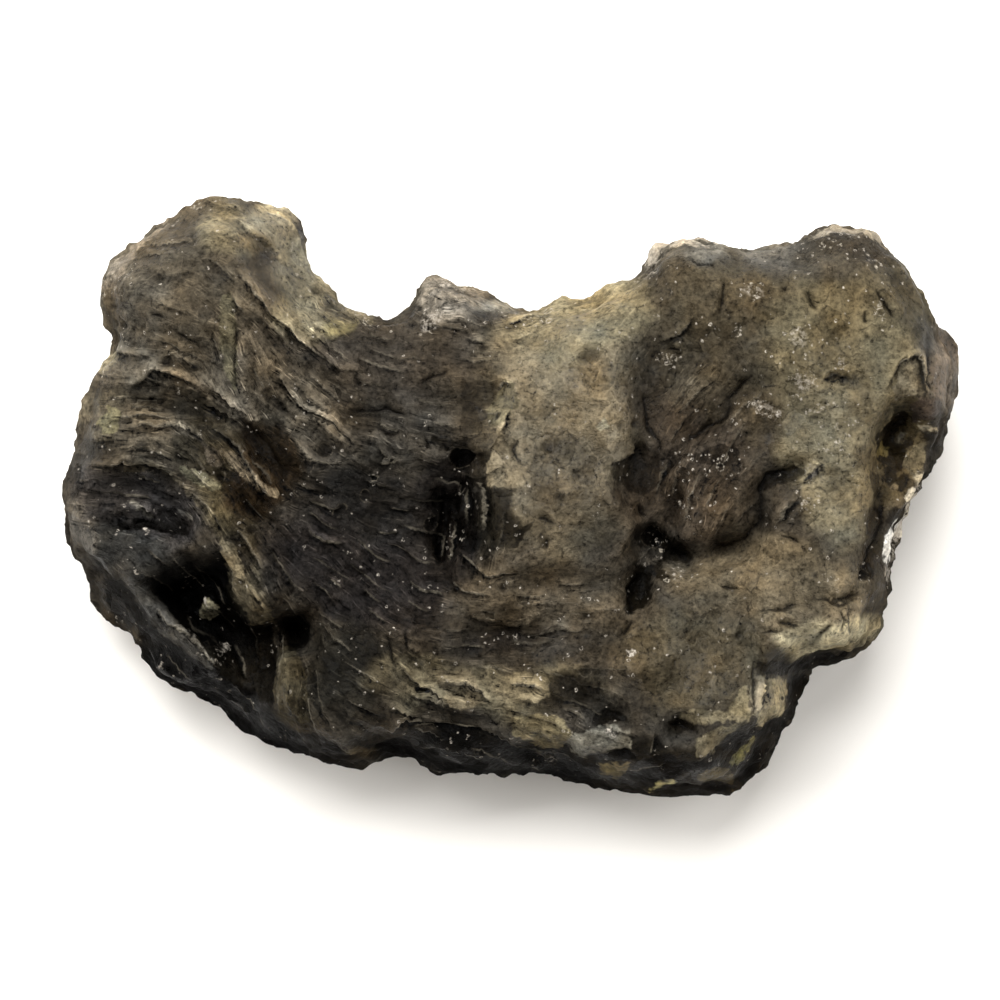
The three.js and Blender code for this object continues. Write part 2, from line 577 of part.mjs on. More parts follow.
function evenCrownHeight(x, y) {
  const around = crownHeight(x - EVENING, y) + crownHeight(x + EVENING, y)
    + crownHeight(x, y - EVENING) + crownHeight(x, y + EVENING);
  return (around + 2 * crownHeight(x, y)) / 6;
}

function upperHeight(x, y, inset) {
  const shoulder = blend(SHOULDER_BACK, SHOULDER_FRONT, nearness(y));
  const seam = seamHeight(x, y);
  const crown = Math.max(LEAST_CROWN, evenCrownHeight(x, y) - seam);
  return seam + crown * dome(inset / shoulder, UPPER_FULLNESS);
}

function lowerHeight(x, y, inset) {
  const relief = scoopHeight(x, y, UNDER_SCOOPS) + swellHeight(x, y, UNDER_SWELL);
  const bulge = Math.max(0, UNDER_SCOOPS.depth / 2 - relief - REST_CLIP);
  const lifted = bulge + sumOver(UNDER_PATCHES, patchHeight, x, y);
  const turned = dome(inset / UNDERSIDE_TURN, UNDERSIDE_FULLNESS);
  return blend(seamHeight(x, y), lifted, turned);
}

// The outline as even points, anticlockwise, and rows of the same count inside it

function outlinePoints() {
  const corners = OUTLINE.map(([x, y]) => new THREE.Vector3(x, y, 0)).reverse();
  const curve = new THREE.CatmullRomCurve3(corners, true, 'centripetal');
  curve.arcLengthDivisions = CURVE_STEPS * corners.length;
  return curve.getSpacedPoints(OUTLINE_COUNT).slice(0, -1).map((point) => [point.x, point.y]);
}

function smoothedRow(row) {
  return row.map(([x, y], index) => {
    const [ax, ay] = row[(index + row.length - 1) % row.length];
    const [bx, by] = row[(index + 1) % row.length];
    return [(ax + 2 * x + bx) / 4, (ay + 2 * y + by) / 4];
  });
}

function rowInside(edge, inset, side) {
  const spread = 1 + Math.round(NORMAL_SPREAD * inset);
  const row = edge.map(([x, y], index) => {
    const [ax, ay] = edge[(index + edge.length - spread) % edge.length];
    const [bx, by] = edge[(index + spread) % edge.length];
    const length = Math.hypot(bx - ax, by - ay);
    const scoop = swellHeight(x, y, { ...WALL_SWELL, layer: WALL_SWELL.layer + side * (1 + 2 * inset) });
    const depth = inset + WALL_SCOOPS.depth * Math.max(0, scoop + WALL_SCOOPS.share);
    return [x - ((by - ay) / length) * depth, y + ((bx - ax) / length) * depth];
  });
  return smoothedRow(smoothedRow(row));
}

// Scattered points inside a row, no closer to it than most of their spacing

function middlePoints(row, spacing) {
  const points = [];
  const rowHeight = spacing * Math.sin(Math.PI / 3);
  for (let line = -Math.ceil(REACH / rowHeight); line * rowHeight < REACH; line++) {
    for (let place = -Math.ceil(REACH / spacing); place * spacing < REACH; place++) {
      const shifts = SCATTER_SEEDS.map((seed) => POINT_SCATTER * (scatter(place, line, seed) - 0.5));
      const x = spacing * (place + (line % 2) / 2 + shifts[0]);
      const y = rowHeight * line + spacing * shifts[1];
      if (isInside(x, y, row) && nearestOnPath(x, y, row, true).distance > ROW_CLEARANCE * spacing) {
        points.push([x, y]);
      }
    }
  }
  return points;
}

// Triangles between scattered points: each one's circle holds no other point

function circled(points, a, b, c) {
  const [ax, ay] = points[a];
  const bx = points[b][0] - ax;
  const by = points[b][1] - ay;
  const cx = points[c][0] - ax;
  const cy = points[c][1] - ay;
  const twice = 2 * (bx * cy - by * cx);
  const ux = (cy * (bx * bx + by * by) - by * (cx * cx + cy * cy)) / twice;
  const uy = (bx * (cx * cx + cy * cy) - cx * (bx * bx + by * by)) / twice;
  return { corners: [a, b, c], x: ax + ux, y: ay + uy, reach: ux * ux + uy * uy };
}

function trianglesBetween(points) {
  const count = points.length;
  const all = [...points, [-FAR_AWAY, -FAR_AWAY], [FAR_AWAY, -FAR_AWAY], [0, FAR_AWAY]];
  let triangles = [circled(all, count, count + 1, count + 2)];
  for (let index = 0; index < count; index++) {
    const [x, y] = all[index];
    const kept = [];
    const border = new Map();
    for (const triangle of triangles) {
      if ((x - triangle.x) ** 2 + (y - triangle.y) ** 2 >= triangle.reach) {
        kept.push(triangle);
        continue;
      }
      triangle.corners.forEach((from, corner) => {
        const to = triangle.corners[(corner + 1) % 3];
        if (!border.delete(`${to},${from}`)) {
          border.set(`${from},${to}`, [from, to]);
        }
      });
    }
    for (const [from, to] of border.values()) {
      kept.push(circled(all, from, to, index));
    }
    triangles = kept;
  }
  const corners = triangles.map((triangle) => triangle.corners);
  return corners.filter((ids) => Math.max(...ids) < count);
}

// One face of the stone: rows up the wall, then the scattered middle. Both faces share the seam.

function facePlan(edge, insets, spacing, side) {
  const count = edge.length;
  const rows = insets.map((inset) => rowInside(edge, inset, side));
  const lastRow = rows[rows.length - 1];
  const middle = middlePoints(lastRow, spacing);
  const points = [...edge, ...rows.flat(), ...middle];
  const triangles = [];
  for (let row = 0; row < rows.length; row++) {
    for (let place = 0; place < count; place++) {
      const outer = row * count + place;
      const outerNext = row * count + ((place + 1) % count);
      triangles.push([outer, outerNext, outer + count]);
      triangles.push([outer + count, outerNext, outerNext + count]);
    }
  }
  const patch = [...lastRow, ...middle];
  const start = rows.length * count;
  for (const corners of trianglesBetween(patch)) {
    const x = corners.reduce((total, corner) => total + patch[corner][0], 0) / 3;
    const y = corners.reduce((total, corner) => total + patch[corner][1], 0) / 3;
    if (isInside(x, y, lastRow)) {
      triangles.push(corners.map((corner) => corner + start));
    }
  }
  const rowInsets = [0, ...insets].flatMap((inset) => edge.map(() => inset));
  return { points, triangles, rowInsets };
}

function insetOf(face, index, edge) {
  return face.rowInsets[index] ?? nearestOnPath(...face.points[index], edge, true).distance;
}

// The underside keeps clear of the upper face, so that no hollow breaks through

function undersideHeight(x, y, inset) {
  const least = THINNEST * dome(inset / THINNEST_INSET, UNDERSIDE_FULLNESS);
  const ceiling = Math.max(0, upperHeight(x, y, inset) - least);
  return Math.min(lowerHeight(x, y, inset), ceiling);
}

function stoneGeometry() {
  const edge = outlinePoints();
  const upper = facePlan(edge, UPPER_ROWS, UPPER_SPACING, 1);
  const lower = facePlan(edge, LOWER_ROWS, LOWER_SPACING, -1);
  const places = [];
  upper.points.forEach(([x, y], index) => {
    places.push(x, y, upperHeight(x, y, insetOf(upper, index, edge)));
  });
  lower.points.forEach(([x, y], index) => {
    if (index >= edge.length) {
      places.push(x, y, undersideHeight(x, y, insetOf(lower, index, edge)));
    }
  });
  const shift = upper.points.length - edge.length;
  const underside = (corner) => (corner < edge.length ? corner : corner + shift);
  const faces = upper.triangles.flat();
  for (const [a, b, c] of lower.triangles) {
    faces.push(underside(a), underside(c), underside(b));
  }
  const geometry = new THREE.BufferGeometry();
  geometry.setAttribute('position', new THREE.Float32BufferAttribute(places, 3));
  geometry.setIndex(faces);
  return geometry;
}

function standAtOrigin(geometry) {
  geometry.computeBoundingBox();
  const { min, max } = geometry.boundingBox;
  geometry.translate(-(min.x + max.x) / 2, -(min.y + max.y) / 2, -min.z);
  geometry.computeVertexNormals();
  return geometry;
}

function moldaviteGlass() {
  return new THREE.MeshStandardMaterial({ color: '#5d5646', roughness: 0.45, metalness: 0 });
}

function moldavite() {
  const mesh = new THREE.Mesh(standAtOrigin(stoneGeometry()), moldaviteGlass());
  mesh.name = 'moldavite';
  return mesh;
}

const stone = new THREE.Group();
stone.add(moldavite());

export default stone;
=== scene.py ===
"""Raw moldavite: a flat lump of natural green-brown glass, etched in the ground, lying on a white table.

Sizes and places below are in millimetres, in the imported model's own frame: +X along the longest side,
+Y towards the side with the bay, +Z up. Blender's metres come in only where a mesh is read or written.
"""

import bmesh
import bpy
import numpy as np
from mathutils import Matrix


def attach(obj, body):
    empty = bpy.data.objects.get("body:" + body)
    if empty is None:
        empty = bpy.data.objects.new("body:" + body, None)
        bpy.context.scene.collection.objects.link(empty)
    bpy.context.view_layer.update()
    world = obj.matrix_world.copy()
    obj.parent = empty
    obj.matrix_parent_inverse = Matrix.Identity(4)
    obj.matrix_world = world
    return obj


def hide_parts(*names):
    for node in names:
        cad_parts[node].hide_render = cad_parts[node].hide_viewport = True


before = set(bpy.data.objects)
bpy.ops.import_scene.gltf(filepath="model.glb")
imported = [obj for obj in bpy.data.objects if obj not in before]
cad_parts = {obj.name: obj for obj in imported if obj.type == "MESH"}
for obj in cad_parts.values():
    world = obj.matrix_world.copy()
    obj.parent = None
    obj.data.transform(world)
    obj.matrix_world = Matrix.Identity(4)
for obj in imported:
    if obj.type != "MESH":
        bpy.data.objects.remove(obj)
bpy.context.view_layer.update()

MM = 0.001
FINER_ROUNDS = 2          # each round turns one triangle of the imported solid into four
HALF_SPAN = 20            # half of a square that holds the whole stone
LEAST_HEIGHT = 0.0        # the table

# Where the glass flowed: x, y, direction in degrees, and how strongly it shows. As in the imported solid.

FLOW_MARKS = [
    (-13.2, 9.8, 5, 0.6), (-10.4, 8.6, -50, 0.7), (-8.6, 6.3, -45, 1.0), (-7.0, 5.0, -35, 0.9),
    (-10.8, 5.6, -70, 0.8), (-13.4, 6.6, -20, 0.5), (-12.2, 2.2, -38, 1.0), (-11.4, 0.8, -52, 1.0),
    (-14.2, 1.0, -14, 0.9), (-16.2, 2.2, 5, 0.7), (-14.0, 3.8, 0, 0.5), (-9.6, 1.2, -52, 1.0),
    (-7.6, 3.2, -38, 1.0), (-5.4, 2.0, -26, 1.0), (-3.6, 1.2, -12, 0.9), (-3.0, 3.6, -8, 0.8),
    (-5.2, 4.6, -12, 0.7), (-6.6, 0.4, -14, 0.8), (-3.8, -0.6, -10, 0.7), (-7.4, -1.6, -32, 0.9),
    (-6.0, -3.4, -40, 0.9), (-10.4, -2.6, -62, 0.8), (-9.0, -7.0, -86, 0.8), (-5.2, -6.2, -30, 0.7),
    (-3.0, -7.8, -15, 0.8), (-0.8, -5.0, 0, 0.6), (2.2, -4.4, 8, 0.5), (1.4, 1.2, 40, 0.25),
    (2.4, 4.6, 20, 0.25), (-2.0, -1.2, 82, 0.9), (5.0, 1.0, 62, 0.8), (6.8, 0.4, 72, 0.8),
    (6.8, 4.2, 48, 0.6), (6.6, 8.2, 60, 0.3), (10.6, 7.6, 62, 0.4), (12.2, 2.8, 20, 0.4),
    (11.6, -1.2, 30, 0.3), (15.4, 1.4, 80, 0.8), (15.2, 7.0, 60, 0.4), (13.0, -5.2, 76, 0.6),
    (9.6, -8.0, 88, 0.7), (8.8, -10.4, 35, 0.7), (5.6, -11.2, 4, 0.7), (2.6, -9.2, -25, 0.6),
    (-12.2, -7.8, -32, 0.6), (-13.6, -5.2, -45, 0.5),
]
FLOW_BLUR = 0.8

# Calm areas, where the flow hardly shows: x, y, half length, half width, turn in degrees, how calm

CALM_AREAS = [(2.2, 2.0, 3.4, 5.6, -10, 0.8), (13.4, 3.0, 4.6, 8.6, 0, 0.8), (9.6, 8.4, 5.0, 3.4, 0, 0.8),
              (8.6, -6.6, 6.4, 4.6, -15, 0.8), (-9.2, 9.4, 1.8, 2.6, 0, 0.7), (-4.0, 5.2, 3.6, 1.8, -8, 0.55),
              (-13.0, 9.0, 3.2, 2.2, 25, 0.45)]

# Flakes that lie along the flow on the upper face: their size, how long against their width, how deeply each
# is hollowed, and how much it tilts

LONG_FLAKES = {"cell": 1.3, "stretch": 3.6, "hollow": 0.12, "tilt": 0.1, "seed": 101}
FINE_FLAKES = {"cell": 0.62, "stretch": 3.0, "hollow": 0.04, "tilt": 0.04, "seed": 131}
BOWL_REACH = 0.75
FLAKE_SPREAD = 60         # mm between neighbouring flakes' own streaks, so that no two are alike

# Free edges of the flakes, drawn along the flow: one starts in each cell of a loose grid

EDGE_SPACING = 0.8
EDGE_STEPS = 6
EDGE_STEP = (0.14, 0.5)   # shortest and longest step, in mm
EDGE_REACH = 0.42         # how far on either side of an edge its light and shade are seen
EDGE_HEIGHT = 0.1
LEAST_FLOW = 0.3
EDGE_CLEARANCE = 0.32     # edges that come nearer than this to one another would tangle

# Etched bowls on every side: size and depth

ROUND_BOWLS = {"size": 1.15, "depth": 0.06, "seed": 151}
SMALL_BOWLS = {"size": 0.52, "depth": 0.03, "seed": 171}
CRUST_BOWLS = {"size": 0.42, "depth": 0.12, "seed": 191}
WALL_BOWLS = {"size": 1.8, "depth": 0.34, "seed": 211}
WALL_SMALL_BOWLS = {"size": 0.62, "depth": 0.15, "seed": 231}

# Crests seen on the upper face, drawn pale as painted highlights

CRESTS = [
    [(-10.6, 9.0), (-10.4, 8.5), (-10.0, 8.0), (-9.4, 7.2), (-8.9, 6.8), (-8.3, 6.2), (-7.9, 5.8),
     (-7.3, 5.3), (-6.8, 5.05), (-5.6, 5.0)],
    [(-10.9, 7.9), (-10.3, 7.1)],
    [(-16.4, 5.9), (-15.8, 5.85), (-15.0, 5.65), (-14.2, 5.4)],
    [(-15.1, 4.2), (-14.4, 4.7), (-14.1, 5.0), (-13.3, 4.7), (-12.0, 4.2)],
    [(-15.4, 2.7), (-14.6, 2.85), (-13.8, 2.8), (-13.2, 2.8), (-12.2, 2.3), (-11.5, 1.4)],
    [(-12.0, 3.6), (-11.5, 3.4), (-10.6, 2.95)],
    [(-11.5, 4.2), (-11.0, 3.7), (-10.3, 3.2)],
    [(-11.7, 2.9), (-10.6, 1.9)],
    [(-10.9, 2.5), (-10.4, 1.4), (-10.0, 0.6), (-9.1, 0.0)],
    [(-16.6, 1.15), (-15.2, 1.3), (-14.2, 1.15), (-13.2, 0.85)],
    [(-14.6, -0.4), (-14.2, -0.8)],
    [(-9.3, 5.1), (-8.7, 4.1), (-8.3, 3.7), (-7.3, 3.1), (-6.3, 2.4), (-5.9, 2.15)],
    [(-5.3, 2.0), (-4.9, 1.6), (-4.2, 1.3)],
    [(-8.6, 2.4), (-8.0, 1.6), (-7.4, 1.35), (-6.6, 1.25)],
    [(-8.0, -0.2), (-7.0, -0.45), (-6.6, -0.5)],
    [(-8.0, -1.2), (-7.5, -1.6), (-6.7, -1.9)],
    [(-5.2, 1.3), (-4.4, 1.3)],
    [(-5.6, 0.95), (-5.2, 0.85)],
    [(-4.8, -0.45), (-3.9, -0.55)],
    [(-5.3, -1.45), (-4.35, -1.55)],
    [(-7.2, -3.2), (-6.6, -3.7)],
    [(-2.0, -2.1), (-1.0, -3.05), (0.4, -3.05)],
    [(-2.4, -3.3), (-1.9, -3.6), (-0.9, -3.85)],
    [(-1.2, 1.0), (-1.15, -0.2), (-1.25, -1.5)],
    [(-0.5, 4.3), (-0.2, 4.6), (0.2, 4.5)],
    [(0.1, 3.4), (-0.4, 2.4)],
    [(3.8, 1.2), (4.9, 1.8), (4.9, 2.2)],
    [(6.0, 6.1), (6.7, 6.4), (7.2, 7.2)],
    [(11.4, 0.6), (11.8, 1.0), (12.1, 1.4)],
    [(12.3, 4.7), (12.8, 4.9), (13.4, 4.7)],
    [(14.8, 4.3), (15.3, 5.3), (15.9, 5.7), (16.3, 5.0), (16.4, 4.3)],
    [(10.4, -1.1), (10.6, -0.5), (11.3, 0.0)],
    [(-4.5, -6.6), (-3.7, -7.1), (-3.0, -7.6), (-2.0, -8.4)],
    [(-3.0, -7.2), (-1.2, -7.6), (-0.9, -8.0)],
    [(0.0, -7.3), (1.3, -7.5)],
    [(-6.0, -9.6), (-4.7, -9.2), (-4.2, -8.85), (-1.5, -8.9), (-0.7, -9.3), (0.3, -9.9), (2.2, -10.3),
     (3.0, -10.6)],
    [(-14.6, -4.2), (-13.0, -5.2), (-12.3, -5.8), (-11.8, -6.5), (-11.5, -6.9)],
    [(-11.5, -2.0), (-11.0, -3.2), (-10.5, -4.5)],
    [(-9.2, -5.0), (-9.15, -6.6), (-9.2, -8.7)],
    [(9.9, -6.9), (9.95, -7.7), (9.8, -8.5)],
    [(5.6, -9.3), (5.5, -10.0)],
    [(-1.7, 6.2), (-0.9, 6.1)],
]

# Cracks and slits of the upper face

CRACKS = [
    [(9.7, 4.9), (9.1, 4.5), (8.7, 4.0), (8.4, 3.4)],
    [(5.3, 4.5), (5.5, 3.6), (5.6, 2.6), (5.9, 1.7)],
    [(11.4, -0.1), (10.8, -0.5), (10.4, -1.0)],
    [(14.4, 8.2), (14.8, 7.5), (15.1, 7.0)],
    [(-10.7, 7.0), (-10.75, 5.6), (-10.65, 4.0)],
    [(-14.3, 7.15), (-13.7, 7.05)],
    [(-15.9, 7.7), (-15.6, 7.3)],
    [(-13.2, 6.4), (-12.2, 6.0)],
    [(-11.2, 2.2), (-10.8, 1.9)],
    [(-15.3, -1.05), (-14.0, -1.1), (-12.7, -1.3)],
    [(-9.35, -6.5), (-9.4, -7.6), (-9.35, -8.8)],
    [(-8.0, 6.2), (-7.2, 5.1)],
    [(-6.7, 3.5), (-5.0, 3.5), (-4.0, 3.1)],
    [(-3.7, 4.3), (-2.8, 4.8), (-2.3, 5.0)],
    [(-3.3, 2.6), (-3.2, 1.7)],
    [(0.45, 2.25), (0.2, 1.9), (0.4, 1.0)],
    [(0.9, -0.85), (1.8, -0.9)],
    [(1.3, -1.6), (1.4, -2.1)],
    [(5.5, 3.2), (5.8, 2.2), (5.9, 1.8)],
    [(8.9, 3.9), (8.4, 3.1), (7.2, 2.5), (6.9, 2.2)],
    [(6.3, 5.7), (6.8, 5.7)],
    [(8.4, 8.8), (8.3, 8.0), (8.1, 7.1)],
    [(5.0, -0.1), (5.3, -0.9)],
    [(6.1, -2.1), (6.6, -2.35), (7.0, -2.3)],
    [(5.2, -2.9), (4.9, -3.8), (4.6, -4.7)],
    [(8.3, -3.55), (9.0, -3.45)],
    [(8.4, -2.0), (9.3, -1.8), (9.8, -0.9), (9.8, 0.3), (10.0, 0.9), (10.6, 1.1), (11.3, 0.9)],
    [(10.4, -1.6), (11.4, -1.85)],
    [(10.8, 8.3), (10.8, 8.0)],
    [(11.7, 8.1), (12.0, 7.2)],
    [(13.9, 7.4), (13.9, 6.8)],
    [(16.7, 7.0), (16.5, 5.5), (16.5, 4.6), (16.7, 4.1)],
    [(14.5, 0.1), (14.6, -0.8), (14.5, -1.8), (14.1, -2.7), (13.6, -3.7)],
    [(12.4, -3.9), (13.1, -4.1), (13.9, -3.9)],
    [(13.4, -4.2), (13.4, -5.8)],
    [(12.0, -5.7), (12.2, -5.5)],
    [(9.7, -5.4), (10.8, -5.3)],
    [(10.3, -5.0), (11.5, -5.1)],
    [(9.5, -6.3), (9.5, -8.6)],
    [(4.8, -4.7), (4.2, -5.6)],
    [(3.6, -7.2), (3.4, -7.9)],
    [(6.2, -8.8), (7.3, -9.1)],
    [(3.6, -10.2), (4.8, -10.1)],
    [(-5.0, -5.3), (-4.8, -6.0), (-4.5, -7.0)],
    [(-4.2, -5.3), (-4.1, -6.2)],
    [(6.9, 9.5), (7.4, 9.2), (8.1, 9.4)],
    [(9.6, -4.6), (10.6, -4.5), (11.2, -4.2)],
    [(11.6, -4.1), (12.4, -4.0), (13.0, -4.3), (13.9, -4.1)],
    [(12.9, -4.3), (13.2, -5.0), (12.9, -5.6)],
    [(14.0, -4.2), (14.4, -5.0), (14.2, -5.6)],
    [(11.6, -5.9), (12.3, -5.4), (12.5, -5.0)],
]
CRACK_REACH = 0.3
CRACK_DEPTH = 0.16

# Round pits left by bubbles: x, y, radius

BUBBLE_PITS = [
    (-11.8, 8.65, 0.2), (-15.4, 6.7, 0.25), (-12.9, 4.4, 0.2), (-14.0, 4.3, 0.2), (-10.2, -1.3, 0.25),
    (-6.05, 4.65, 0.3), (-7.4, 1.9, 0.3), (-8.1, 1.3, 0.25), (-6.7, -0.6, 0.25), (-5.7, 0.0, 0.25),
    (-3.25, -1.1, 0.3), (-6.5, 3.1, 0.2), (-1.95, 1.5, 0.45), (-0.2, -3.6, 0.25), (1.5, 1.95, 0.25),
    (2.5, 0.75, 0.25), (1.8, -0.1, 0.25), (3.1, 5.6, 0.4), (4.3, 2.8, 0.22), (4.9, 2.9, 0.22),
    (5.5, -1.6, 0.4), (9.05, -5.5, 0.22), (7.2, -4.7, 0.2), (7.6, -8.5, 0.25), (3.0, -6.8, 0.25),
    (3.0, -4.6, 0.22), (-1.0, 5.9, 0.25), (-10.6, -3.35, 0.25), (-9.9, -3.7, 0.22), (1.75, -10.5, 0.2),
    (-7.7, 8.25, 0.25), (14.0, -3.1, 0.25), (12.6, -3.15, 0.2), (13.6, -4.5, 0.2), (-11.4, 0.8, 0.22),
    (-14.4, 1.95, 0.3), (-13.5, 5.2, 0.28), (-12.4, 5.05, 0.25),
]
PIT_DEPTH = 0.5           # share of a pit's radius

# Grains of white crust with painted glints on them, drawn as pale spots: x, y, radius

GLINTS = [
    (-13.5, 10.2, 0.12), (-13.1, 10.7, 0.12), (-10.8, 10.1, 0.1), (-10.4, 11.2, 0.12), (-11.8, 9.0, 0.1),
    (-12.4, 8.1, 0.1), (-11.8, 7.5, 0.1), (-12.8, 7.5, 0.1), (-13.7, 8.2, 0.14), (-11.2, 9.3, 0.1),
    (-15.6, 6.3, 0.14), (-15.2, 6.1, 0.12), (-7.95, 8.6, 0.14), (-16.0, 5.1, 0.2), (-13.1, 4.25, 0.1),
    (-9.35, -0.6, 0.14), (-14.5, -1.35, 0.22), (-13.8, -1.35, 0.18), (-15.4, -1.4, 0.2), (-12.9, 0.15, 0.16),
    (-15.2, -0.25, 0.18), (-13.6, -0.5, 0.14), (-15.65, 0.45, 0.14), (-16.7, -1.0, 0.14), (-13.3, -1.3, 0.1), (-15.6, 0.5, 0.12),
    (-16.8, 0.5, 0.14), (-13.2, 0.1, 0.1), (-15.3, -0.3, 0.1), (-13.7, -0.4, 0.1), (-13.2, -0.8, 0.1),
    (-14.7, -2.9, 0.25), (-12.9, -2.9, 0.22), (-12.1, -4.3, 0.3), (-11.5, -6.0, 0.32), (-13.95, -6.8, 0.2),
    (-13.9, -6.3, 0.12), (-12.4, -6.75, 0.12), (-14.8, -5.65, 0.12), (-15.6, -4.2, 0.12),
    (-12.35, -7.5, 0.12), (-11.8, -7.35, 0.1), (-10.8, -7.4, 0.1), (-9.9, -7.2, 0.1), (-9.9, -8.3, 0.1),
    (-5.55, 6.85, 0.22), (-5.7, 7.4, 0.2), (-2.7, 8.4, 0.25), (-2.1, 8.45, 0.2), (-0.4, 7.7, 0.16),
    (0.3, 7.4, 0.14), (0.5, 7.2, 0.12), (1.2, 7.1, 0.14), (2.2, 6.8, 0.12), (1.5, 7.6, 0.14),
    (3.4, 6.4, 0.12), (1.2, 6.1, 0.1), (-7.4, 6.4, 0.12), (-6.5, 6.05, 0.12), (-7.1, 2.0, 0.1),
    (-6.4, -0.55, 0.1), (-5.7, -0.1, 0.1), (-3.9, -3.6, 0.12), (-3.3, 0.8, 0.1), (-4.5, 5.2, 0.12),
    (-3.65, 5.2, 0.12), (-2.7, -0.8, 0.12), (-2.1, -0.85, 0.12), (0.1, -0.9, 0.16), (-0.3, -1.9, 0.12),
    (-0.65, -2.75, 0.12), (2.1, 0.1, 0.1), (2.3, 2.0, 0.12), (0.3, 0.4, 0.1), (1.1, 0.35, 0.1),
    (3.6, 2.85, 0.2), (4.3, 5.1, 0.12), (6.3, 5.3, 0.12), (6.7, 5.4, 0.12), (5.9, 4.8, 0.12),
    (7.2, 1.6, 0.14), (7.65, -0.1, 0.14), (5.4, -2.0, 0.2), (6.8, -3.1, 0.25), (9.1, -2.4, 0.12),
    (11.8, -0.3, 0.16), (11.6, -0.5, 0.14), (11.0, 0.2, 0.12), (12.9, -0.5, 0.14), (9.1, 8.1, 0.16),
    (9.6, 7.8, 0.16), (10.2, 7.8, 0.14), (10.5, 3.3, 0.2), (9.8, 3.6, 0.2), (11.6, 8.8, 0.14),
    (13.6, 8.6, 0.14), (14.6, 8.4, 0.14), (15.4, 8.3, 0.14), (7.5, 6.2, 0.14), (8.8, 6.3, 0.16),
    (13.0, 5.4, 0.14), (6.6, 9.05, 0.16), (5.75, 8.7, 0.16), (16.5, 7.8, 0.16), (15.2, 3.3, 0.14),
    (15.7, 3.55, 0.14), (16.5, 0.7, 0.12), (12.9, -6.1, 0.12), (11.45, -6.5, 0.1), (10.4, -6.5, 0.1),
    (13.2, -6.65, 0.1), (8.45, -5.6, 0.12), (4.7, -6.2, 0.28), (1.75, -10.5, 0.2), (-1.1, -5.8, 0.14),
    (-0.7, -5.5, 0.1), (-0.15, -5.7, 0.14), (0.6, -5.7, 0.1), (-5.9, -8.1, 0.2), (-2.2, -9.8, 0.12),
    (-2.1, -9.2, 0.12), (3.3, -8.5, 0.14), (4.0, -9.3, 0.3), (-16.8, -0.6, 0.12),
]

# Stretches of pale pitted crust: x, y, half length, half width, turn in degrees, and how thick it lies

CRUSTS = [
    (16.2, 0.1, 0.9, 0.4, 55, 1.0), (15.5, -1.6, 1.2, 0.45, 80, 1.0), (15.4, -3.2, 0.8, 0.4, 90, 0.9),
    (-3.1, 7.0, 0.6, 0.5, 40, 0.9), (-1.5, 8.4, 0.8, 0.25, 0, 0.8), (-2.5, 8.4, 0.5, 0.25, 0, 0.9),
    (5.4, 9.4, 0.4, 0.9, -15, 0.85), (7.0, 10.2, 1.1, 0.25, 5, 0.85), (9.6, 8.0, 0.75, 0.35, -10, 0.75),
    (11.4, 6.2, 0.5, 0.6, 0, 0.75), (11.4, 4.5, 0.55, 0.5, 0, 0.8), (10.0, 3.55, 0.8, 0.45, -20, 0.75),
    (13.0, 5.3, 0.3, 0.3, 0, 0.7), (8.3, 1.25, 0.9, 0.5, 15, 0.6), (11.5, -0.1, 0.6, 0.5, -30, 0.6),
    (6.3, 5.2, 0.5, 0.4, 0, 0.55), (8.95, 6.5, 0.3, 0.4, 0, 0.55), (14.2, 9.3, 1.0, 0.4, -25, 0.55),
    (14.5, 7.3, 0.35, 0.6, 0, 0.5), (12.6, 9.9, 0.7, 0.4, 0, 0.5), (5.7, -2.0, 0.4, 0.4, 0, 0.55),
    (11.75, 1.0, 0.5, 0.3, 45, 0.7), (-15.4, 8.7, 0.8, 0.7, 0, 0.4), (12.4, 2.6, 1.0, 1.2, 0, 0.35),
    (15.4, -3.7, 0.25, 0.8, 0, 0.5), (-0.6, -5.65, 1.1, 0.2, 0, 0.5), (6.6, -3.1, 0.6, 0.35, -10, 0.65),
    (-11.6, -6.1, 0.6, 0.4, -40, 0.5), (13.4, 10.5, 1.3, 0.2, -5, 0.7), (-8.5, 10.2, 0.9, 0.2, 80, 0.5),
    (-12.6, 11.4, 1.6, 0.2, 25, 0.5), (-16.0, 8.4, 0.9, 0.2, 60, 0.5), (0.4, 7.2, 1.0, 0.3, -20, 0.6),
    (-5.9, 7.1, 0.7, 0.25, -30, 0.6), (1.0, 7.3, 1.2, 0.4, -10, 0.35), (-16.5, 5.2, 0.35, 0.5, 0, 0.7),
    (7.2, 0.2, 1.0, 1.6, 10, 0.2), (-2.2, -0.6, 0.6, 1.4, 0, 0.25),
]
